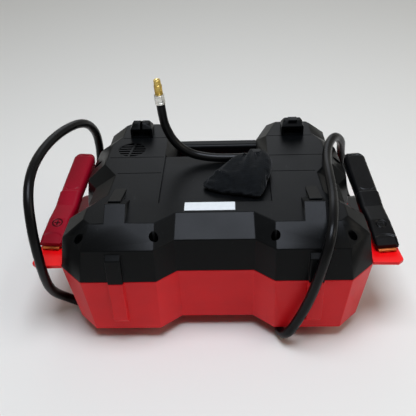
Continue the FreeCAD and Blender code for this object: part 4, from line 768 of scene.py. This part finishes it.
# The pouch's outline at rising heights over its seat on the label panel, each as height and points.
POUCH_BASE_MM = 130.8
POUCH_RINGS_MM = (
    (0.1, ((-18, -36.5), (-8, -46), (7, -52), (21, -55.5), (34, -58.5), (43.5, -62.5), (49, -53), (53, -38),
           (56, -14), (54, 2), (43, 6), (27, 3), (11, -7), (-3, -23))),
    (2.5, ((-22, -36), (-9, -47.5), (7, -53.5), (21, -57), (34, -60), (45, -66), (51, -54), (55, -38),
           (58.5, -13), (55, 5), (44, 9), (27, 6), (9, -5), (-6, -23))),
    (7.0, ((-12, -35), (-3, -44.5), (9, -50), (22, -53.5), (34, -56.5), (43, -61), (49, -51), (54.5, -37),
           (58.5, -12), (56, 7), (44, 10.5), (28, 8), (11, -4), (-3, -19.5))),
    (12.5, ((3, -31.5), (8, -38), (17, -43), (27, -46.5), (36, -49), (42.5, -51), (49, -43.5), (55, -32),
            (59.5, -11), (57, 7), (45, 11), (31, 8), (18, -2.5), (7, -16))),
    (17.5, ((16, -23), (20, -28), (26, -32), (33, -36), (39.5, -38), (45, -37), (51, -31), (56, -21),
            (59, -8), (56, 5), (46, 9), (35, 5.5), (25, -3.5), (18, -13))),
    (21.5, ((27, -13), (29, -16.5), (32, -19.5), (36.5, -22), (41, -22.5), (46, -20.5), (50, -15.5),
            (52.5, -10), (53, -4), (50, 1.5), (44, 4), (37.5, 2), (32, -3.5), (28.5, -8.5))),
)
# Folds as start, end, height and half width; below zero is a crease.
POUCH_FOLDS_MM = (
    ((38, 3), (30, -34), 3.2, 2.6),
    ((44.5, 2), (41, -24), -3.2, 4.4),
    ((50, 4), (54, -14), 1.8, 3.6),
    ((32, 1), (20, -30), -2.6, 4.4),
    ((25, 1), (8, -26), 2.0, 3.4),
    ((2, -26), (16, -40), 2.4, 2.8),
    ((-4, -33), (7, -44), -1.4, 2.6),
    ((18, -54), (24, -36), 1.4, 3.0),
    ((32, -58), (34, -40), -1.4, 3.2),
    ((54, -32), (47, -56), -1.6, 3.2),
)
# A fold has faded by this share at its end, and stands fully out above this height.
FOLD_FADE = 0.6
FOLD_FULL_HEIGHT_MM = 8.0
# Slack that no fold explains: its height, its waves per metre, and its noise's fractal dimension,
# lacunarity and octaves.
SLACK_MM = 0.45
SLACK_WAVES = 38.0
SLACK_NOISE = (1.0, 2.0, 2)
# How far folds lean from square to the cloth toward straight up.
FOLD_LIFT = Vector((0.0, 0.0, 0.8))
# Over the base, the cloth is held below the first height, has no folds below the second, and
# has no point below the third.
SEAT_HEIGHT_MM = 1.5
FLAT_SEAT_MM = 1.0
LEAST_HEIGHT_MM = 0.1
# Cells of the sack as it goes into the cloth run, the run's frames, and the most that a point moves.
CLOTH_CELL_MM = 3.0
CLOTH_FRAMES = 20
LARGEST_MOVE_MM = 2.5


def pouch_sack():
    """Coarse closed sack through the pouch's rings."""
    shape = bmesh.new()
    loops = []
    for height, points in POUCH_RINGS_MM:
        loops.append([shape.verts.new((x * MM, y * MM, (POUCH_BASE_MM + height) * MM)) for x, y in points])
    for low, high in zip(loops, loops[1:]):
        for i in range(len(low)):
            j = (i + 1) % len(low)
            shape.faces.new((low[i], low[j], high[j], high[i]))
    shape.faces.new(list(reversed(loops[0])))
    shape.faces.new(loops[-1])
    bmesh.ops.recalc_face_normals(shape, faces=shape.faces)
    mesh = bpy.data.meshes.new("pouch_sack")
    shape.to_mesh(mesh)
    shape.free()
    return put_in_scene("pouch_sack", mesh)


def even_out(sack):
    """Round the sack and give it even cells, which the cloth needs."""
    round_off = sack.modifiers.new("round_off", "SUBSURF")
    round_off.levels = round_off.render_levels = 2
    cells = sack.modifiers.new("cells", "REMESH")
    cells.mode = "VOXEL"
    cells.voxel_size = CLOTH_CELL_MM * MM
    even = evaluated_mesh(sack)
    sack.modifiers.clear()
    sack.data = even


def cloth_run(sack):
    """Cloth under a little pressure, its seat held, with no point far from its start."""
    start = [v.co.copy() for v in sack.data.vertices]
    seat_top = (POUCH_BASE_MM + SEAT_HEIGHT_MM) * MM
    seat = sack.vertex_groups.new(name="seat")
    seat.add([i for i, place in enumerate(start) if place.z < seat_top], 1.0, "REPLACE")
    cloth = sack.modifiers.new("cloth", "CLOTH")
    settings = cloth.settings
    settings.quality = 6
    settings.mass = 0.12
    settings.vertex_group_mass = "seat"
    settings.use_pressure = True
    settings.uniform_pressure_force = 4.0
    settings.shrink_min = -0.05
    settings.tension_stiffness = settings.compression_stiffness = 10.0
    settings.shear_stiffness = 4.0
    settings.bending_stiffness = 1.5
    settings.effector_weights.gravity = 0.0
    cloth.collision_settings.use_collision = False
    for number in range(1, CLOTH_FRAMES + 1):
        bpy.context.scene.frame_set(number)
    settled = evaluated_mesh(sack)
    bpy.context.scene.frame_set(1)
    sack.modifiers.clear()
    for vertex, before in zip(settled.vertices, start):
        move = vertex.co - before
        if move.length > LARGEST_MOVE_MM * MM:
            vertex.co = before + move * (LARGEST_MOVE_MM * MM / move.length)
    sack.data = settled


def fold_height(x, y):
    """Rise or fall of the pouch's folds at a place, in millimetres."""
    total = 0.0
    for (x0, y0), (x1, y1), rise, half in POUCH_FOLDS_MM:
        along_x, along_y = x1 - x0, y1 - y0
        t = ((x - x0) * along_x + (y - y0) * along_y) / (along_x**2 + along_y**2)
        t = min(1.0, max(0.0, t))
        away = math.hypot(x - x0 - t * along_x, y - y0 - t * along_y)
        total += rise * math.exp(-((away / half) ** 2)) * (1.0 - FOLD_FADE * t)
    return total


def gather(cloth):
    """Press the folds and a little slack into the cloth above its seat."""
    for vertex in cloth.vertices:
        place = vertex.co
        height = place.z / MM - POUCH_BASE_MM
        if height < FLAT_SEAT_MM:
            continue
        slack = fractal(place * SLACK_WAVES, *SLACK_NOISE) * SLACK_MM
        lift = (fold_height(place.x / MM, place.y / MM) + slack) * min(1.0, height / FOLD_FULL_HEIGHT_MM)
        outward = (vertex.normal + FOLD_LIFT).normalized()
        vertex.co = place + outward * lift * MM
        vertex.co.z = max(vertex.co.z, (POUCH_BASE_MM + LEAST_HEIGHT_MM) * MM)


def soft_pouch():
    """Slack pouch on the label panel: pointed at one end, with a gathered crown near the other."""
    sack = pouch_sack()
    even_out(sack)
    cloth_run(sack)
    finer = sack.modifiers.new("finer", "SUBSURF")
    finer.levels = finer.render_levels = 2
    cloth = evaluated_mesh(sack)
    bpy.data.objects.remove(sack)
    gather(cloth)
    cloth.shade_smooth()
    piece = new_piece("soft_pouch", cloth, "housing", "pouch_fabric")
    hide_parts("accessory_pouch")


def ring_faces(rings, size, closed=False):
    """Faces between neighbouring rings of points, numbered ring after ring.

    The last ring joins the first where closed, and otherwise both end rings are capped.
    """
    faces = []
    for r in range(rings if closed else rings - 1):
        up = (r + 1) % rings
        for k in range(size):
            side = (k + 1) % size
            faces.append((r * size + k, r * size + side, up * size + side, up * size + k))
    if not closed:
        faces.append(tuple(range(size)))
        faces.append(tuple(reversed(range((rings - 1) * size, rings * size))))
    return faces


def closed_skin(name, points, faces, sharp_deg):
    """Mesh of a closed skin with its faces outward, smooth but for its sharp edges."""
    mesh = bpy.data.meshes.new(name)
    mesh.from_pydata(points, [], faces)
    shape = bmesh.new()
    shape.from_mesh(mesh)
    bmesh.ops.recalc_face_normals(shape, faces=shape.faces)
    shape.to_mesh(mesh)
    shape.free()
    mesh.shade_smooth()
    mesh.set_sharp_from_angle(angle=math.radians(sharp_deg))
    return mesh


HOSE_TIP_MM = Vector(HOSE_ROUTE_MM[-1])
HOSE_WAY = (HOSE_TIP_MM - Vector(HOSE_ROUTE_MM[-2])).normalized()
# Turned parts as closed profiles of (place past the hose's tip, radius).
FERRULE_MM = (
    (0.0, 4.85), (0.0, 5.3), (0.3, 5.55), (2.2, 5.55), (2.5, 5.3), (3.2, 5.3), (3.5, 5.55), (9.0, 5.55),
    (10.2, 5.45), (10.8, 5.0), (11.0, 4.5), (11.0, 2.75), (8.0, 2.75), (8.0, 4.75), (0.2, 4.75),
)
STEM_MM = (
    (11.05, 1.6), (11.05, 4.2), (11.25, 4.4), (11.7, 4.4), (11.9, 4.2), (11.9, 2.7), (21.5, 2.7),
    (21.5, 3.45), (21.7, 3.65), (26.6, 3.65), (27.0, 3.3), (27.0, 2.3), (26.4, 1.6),
)
COLLAR_MM = (
    (12.1, 2.76), (12.1, 4.0), (12.3, 4.2), (13.2, 4.2), (13.4, 4.05), (20.2, 4.05), (20.4, 4.2),
    (21.2, 4.2), (21.4, 4.0), (21.4, 2.76),
)
TURNED_STEPS = 64
TURNED_SHARP_DEG = 28.0
# Knurl of the collar, in millimetres but for its count, with its middle this far past the hose's tip.
KNURL = {"Count": 32, "Radius": 4.0, "Length": 6.6, "Ridge": 0.36}
KNURL_MIDDLE_MM = 16.75


def on_hose():
    """Frame at the hose's tip, with local Z along the chuck and millimetres as its unit."""
    turn = Vector((0.0, 0.0, 1.0)).rotation_difference(HOSE_WAY).to_matrix().to_4x4()
    return Matrix.Translation(HOSE_TIP_MM * MM) @ turn @ Matrix.Scale(MM, 4)


def turned(name, profile, body, slot, node, finish=None):
    """Turned part on the hose's axis, which stands for its solid."""
    place = on_hose()
    points = []
    for along, radius in profile:
        for k in range(TURNED_STEPS):
            a = 2 * math.pi * k / TURNED_STEPS
            points.append(place @ Vector((radius * math.cos(a), radius * math.sin(a), along)))
    faces = ring_faces(len(profile), TURNED_STEPS, closed=True)
    mesh = closed_skin(name, points, faces, TURNED_SHARP_DEG)
    piece = new_piece(name, mesh, body, slot, finish)
    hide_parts(node)
    return piece


def ridge_nodes():
    """Node group that stands fine ridges around a ring, with their count and sizes as inputs."""
    group = bpy.data.node_groups.new("ridge ring", "GeometryNodeTree")
    sockets = {}
    for name, kind in (
        ("Count", "NodeSocketInt"),
        ("Radius", "NodeSocketFloat"),
        ("Length", "NodeSocketFloat"),
        ("Ridge", "NodeSocketFloat"),
        ("Finish", "NodeSocketMaterial"),
    ):
        sockets[name] = group.interface.new_socket(name=name, in_out="INPUT", socket_type=kind).identifier
    group.interface.new_socket(name="Geometry", in_out="OUTPUT", socket_type="NodeSocketGeometry")
    given = add(group, "NodeGroupInput").outputs
    ring = add(group, "GeometryNodeMeshCircle", {"Vertices": given["Count"], "Radius": given["Radius"]})
    size = add(
        group, "ShaderNodeCombineXYZ",
        {"X": given["Ridge"], "Y": given["Ridge"], "Z": given["Length"]},
    )
    ridge = add(group, "GeometryNodeMeshCube", {"Size": size})
    outward = add(
        group, "FunctionNodeAlignRotationToVector",
        {"Vector": add(group, "GeometryNodeInputPosition")}, {"axis": "X"},
    )
    stood = add(
        group, "GeometryNodeInstanceOnPoints",
        {"Points": ring, "Instance": ridge, "Rotation": outward},
    )
    real = add(group, "GeometryNodeRealizeInstances", {"Geometry": stood})
    dressed = add(group, "GeometryNodeSetMaterial", {"Geometry": real, "Material": given["Finish"]})
    add(group, "NodeGroupOutput", {"Geometry": dressed})
    return group, sockets


def ridge_ring(name, values, middle_mm, body, slot):
    """Ring of ridges on the hose's axis, as a plain mesh."""
    group, sockets = ridge_nodes()
    draft = put_in_scene(name + "_draft", bpy.data.meshes.new(name + "_draft"))
    repeat = draft.modifiers.new("repeat", "NODES")
    repeat.node_group = group
    for key, value in dict(values, Finish=FINISHES[slot]).items():
        repeat[sockets[key]] = value
    mesh = evaluated_mesh(draft)
    bpy.data.objects.remove(draft)
    mesh.transform(on_hose() @ Matrix.Translation((0.0, 0.0, middle_mm)))
    return new_piece(name, mesh, body, slot)


def hose_end():
    """Ferrule, chuck and knurled collar at the hose's free end."""
    return [
        turned("crimped_ferrule", FERRULE_MM, "housing", "zinc_steel", "hose_ferrule", FERRULE_NICKEL),
        turned("turned_stem", STEM_MM, "housing", "brass", "chuck_body"),
        turned("turned_collar", COLLAR_MM, "chuck_collar_body", "brass", "chuck_collar"),
        ridge_ring("collar_knurl", KNURL, KNURL_MIDDLE_MM, "chuck_collar_body", "brass"),
    ]


# Each parked clamp's pivot on the right (1) and left (-1), and its yaw; x is mirrored on the left.
CLAMP_PIVOT_MM = {1: (167.0, -38.0, 81.0), -1: (166.0, -28.0, 81.0)}
CLAMP_YAW = math.radians(5.75)
# Sections of a grip: place along the arm, lowest, highest, half width and corner radius.
GRIP_SECTIONS_MM = (
    (-48.25, 5.95, 10.75, 11.55, 1.9),
    (-40.0, 5.95, 13.25, 12.05, 2.9),
    (-16.0, 5.95, 18.75, 11.95, 4.6),
    (8.0, 7.25, 19.65, 12.25, 4.6),
    (27.5, 11.95, 25.85, 12.45, 5.1),
    (29.0, 12.75, 25.15, 12.05, 5.1),
    (86.0, 21.35, 37.45, 12.45, 6.6),
    (91.0, 22.9, 36.7, 11.5, 6.0),
    (93.8, 23.7, 35.7, 10.5, 5.4),
    (95.25, 24.7, 34.4, 9.2, 4.4),
)
STATION_MM = 0.5
GRIP_SHARP_DEG = 40.0
# The underside clears the pivot and its spring by this radius and gap.
PIVOT_ROOM_MM = 8.6
PIVOT_GAP_MM = 0.1
# Steps across the outer face, around an outer and an inner corner, and points on a side and below.
OUTER_STEPS = 40
CORNER_STEPS = 6
INNER_CORNER_STEPS = 4
FLANK_POINTS = 5
UNDER_POINTS = 8
# An inner corner's radius as a share of the outer one's.
INNER_CORNER = 0.7
# A relief's slope runs between two distances from its outline.
# Thumb panel: middle along the arm, half width and length, corner radius, groove and floor.
PANEL_Y_MM = 60.0
PANEL_HALF_MM = (8.2, 28.0)
PANEL_CORNER_MM = 6.5
GROOVE_DEPTH_MM = 1.0
GROOVE_SLOPE_MM = (0.3, 1.5)
FLOOR_DEPTH_MM = 0.6
FLOOR_SLOPE_MM = (-1.8, -0.3)
# Polarity mark: middle along the arm, ring radius, half length and half width of its bars.
MARK_Y_MM = -22.0
MARK_RING_MM = 5.0
MARK_BAR_MM = (3.0, 0.5)
MARK_DEPTH_MM = 0.9
RING_SLOPE_MM = (0.4, 0.8)
BAR_SLOPE_MM = (0.0, 0.4)
# Round step at the grip's front end, as a circle about a point past it.
STEP_Y_MM = -51.0
STEP_RADIUS_MM = 15.5
STEP_DEPTH_MM = 0.9
STEP_SLOPE_MM = (-0.5, 0.7)


def parked(x, y, z, side):
    """Place on a parked clamp, from millimetres across, along and square to its tab."""
    pivot_x, pivot_y, pivot_z = CLAMP_PIVOT_MM[side]
    turned_x = x * math.cos(CLAMP_YAW) - y * math.sin(CLAMP_YAW) + pivot_x
    turned_y = x * math.sin(CLAMP_YAW) + y * math.cos(CLAMP_YAW) + pivot_y
    return (side * turned_x * MM, turned_y * MM, (z + pivot_z) * MM)


def rounded_distance(x, y, half_x, half_y, corner):
    """Signed distance to a rounded rectangle, below 0 inside."""
    dx = abs(x) - half_x + corner
    dy = abs(y) - half_y + corner
    return math.hypot(max(dx, 0.0), max(dy, 0.0)) + min(max(dx, dy), 0.0) - corner


def blend_step(value, start, end):
    """0 before start and 1 past end, with a soft slope between."""
    t = min(1.0, max(0.0, (value - start) / (end - start)))
    return t * t * (3 - 2 * t)


def polarity_mark(x, y, sign):
    """1 inside the sunk ring and its plus or minus sign, 0 outside."""
    if not sign:
        return 0.0
    along = y - MARK_Y_MM
    half_length, half_width = MARK_BAR_MM
    ring = abs(math.hypot(x, along) - MARK_RING_MM)
    bar = max(abs(x) - half_length, abs(along) - half_width)
    if sign == "plus":
        bar = min(bar, max(abs(along) - half_length, abs(x) - half_width))
    return max(1.0 - blend_step(ring, *RING_SLOPE_MM), 1.0 - blend_step(bar, *BAR_SLOPE_MM))


def grip_relief(x, y, sign):
    """Height of the relief on a grip's outer face: thumb panel, polarity mark and front step."""
    panel = rounded_distance(x, y - PANEL_Y_MM, *PANEL_HALF_MM, PANEL_CORNER_MM)
    groove = 1.0 - blend_step(abs(panel), *GROOVE_SLOPE_MM)
    floor = 1.0 - blend_step(panel, *FLOOR_SLOPE_MM)
    height = -GROOVE_DEPTH_MM * groove - FLOOR_DEPTH_MM * floor
    height -= MARK_DEPTH_MM * polarity_mark(x, y, sign)
    inside_step = STEP_RADIUS_MM - math.hypot(x, y - STEP_Y_MM)
    return height - STEP_DEPTH_MM * blend_step(inside_step, *STEP_SLOPE_MM)


def grip_ring(y, low, high, half, corner, sign):
    """Points (x, z) around a grip at one station, its outer face first."""
    inner = INNER_CORNER * corner
    ring = []
    for i in range(OUTER_STEPS + 1):
        x = (half - corner) * (1 - 2 * i / OUTER_STEPS)
        ring.append((x, high + grip_relief(x, y, sign)))
    flank = []
    for k in range(1, CORNER_STEPS):
        a = math.pi / 2 * k / CORNER_STEPS
        flank.append((-(half - corner) - corner * math.sin(a), high - corner + corner * math.cos(a)))
    for z in np.linspace(high - corner, low + inner, FLANK_POINTS):
        flank.append((-half, float(z)))
    for k in range(1, INNER_CORNER_STEPS):
        a = math.pi / 2 * k / INNER_CORNER_STEPS
        flank.append((-half + inner * (1 - math.cos(a)), low + inner * (1 - math.sin(a))))
    ring += flank
    ring += [(float(x), low) for x in np.linspace(-half + inner, half - inner, UNDER_POINTS)]
    return ring + [(-x, z) for x, z in reversed(flank)]


def grip_mesh(name, side, upper, sign):
    """Moulded grip of one clamp arm as a closed skin of rings along the arm."""
    table = np.array(GRIP_SECTIONS_MM)
    stations = np.arange(table[0, 0], table[-1, 0] + STATION_MM / 2, STATION_MM)
    columns = [np.interp(stations, table[:, 0], table[:, k]) for k in range(1, 5)]
    points = []
    sunk_mark_shade = []
    for y, low, high, half, corner in zip(stations, *columns):
        if abs(y) < PIVOT_ROOM_MM:
            low = max(low, math.sqrt(PIVOT_ROOM_MM**2 - y * y) + PIVOT_GAP_MM)
        ring = grip_ring(y, low, high, half, corner, sign)
        points += [parked(x, y, z if upper else -z, side) for x, z in ring]
        # Painted shade for the sunk polarity mark: 1 in its grooves on the outer face, 0 elsewhere.
        sunk_mark_shade += [polarity_mark(x, y, sign) if i <= OUTER_STEPS else 0.0 for i, (x, z) in enumerate(ring)]
    faces = ring_faces(len(stations), len(ring))
    mesh = closed_skin(name, points, faces, GRIP_SHARP_DEG)
    mesh.attributes.new("sunk_mark_shade", "FLOAT", "POINT").data.foreach_set("value", sunk_mark_shade)
    return mesh


# Front edge of a copper jaw as (along the arm, height): its skin, its nose over the lowest line,
# and that line, which rises into two scallops.
LIP_SKIN_MM = ((-47.0, 5.6), (-49.6, 5.4), (-50.6, 4.7))
LIP_NOSE_MM = (-50.9, 0.6)
LIP_UNDER_MM = (-50.6, -49.2, -47.0)
LIP_LOW_MM = 2.2
SCALLOP_MM = 1.5
LIP_HALF_MM = 8.8
LIP_STEPS = 28
LIP_SHARP_DEG = 50.0


def jaw_lip(name, side, upper, body):
    """Front edge of a copper jaw where it shows past the grip: rolled, with two scallops."""
    points = []
    for i in range(LIP_STEPS + 1):
        across = 2 * LIP_HALF_MM * i / LIP_STEPS
        wave = 0.5 - 0.5 * math.cos(2 * math.pi * across / LIP_HALF_MM)
        low = LIP_LOW_MM + SCALLOP_MM * wave
        nose = (LIP_NOSE_MM[0], low + LIP_NOSE_MM[1])
        section = (*LIP_SKIN_MM, nose, *((y, low) for y in LIP_UNDER_MM))
        points += [parked(across - LIP_HALF_MM, y, z if upper else -z, side) for y, z in section]
    faces = ring_faces(LIP_STEPS + 1, len(section))
    new_piece(name, closed_skin(name, points, faces, LIP_SHARP_DEG), body, "copper")


def clamp_grips():
    """Detailed grips and jaw edges over both arms of both clamps."""
    for side, word, slot, sign in (
        (-1, "left", "crimson_grip", "plus"),
        (1, "right", "black_grip", "minus"),
    ):
        for arm, body, mark in (("upper", word + "_clamp_arm", sign), ("lower", "housing", None)):
            name = word + "_" + arm
            mesh = grip_mesh(name + "_grip", side, arm == "upper", mark)
            piece = new_piece(name + "_grip", mesh, body, slot)
            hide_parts("clamp_" + name + "_arm")
            jaw_lip(name + "_jaw_lip", side, arm == "upper", body)


dress_solids()
set_camera()
lay_table()
light_room()
for moulding in MOULDINGS:
    rounded_moulding(*moulding)
soft_pouch()
lay_cords(hose_end())
clamp_grips()
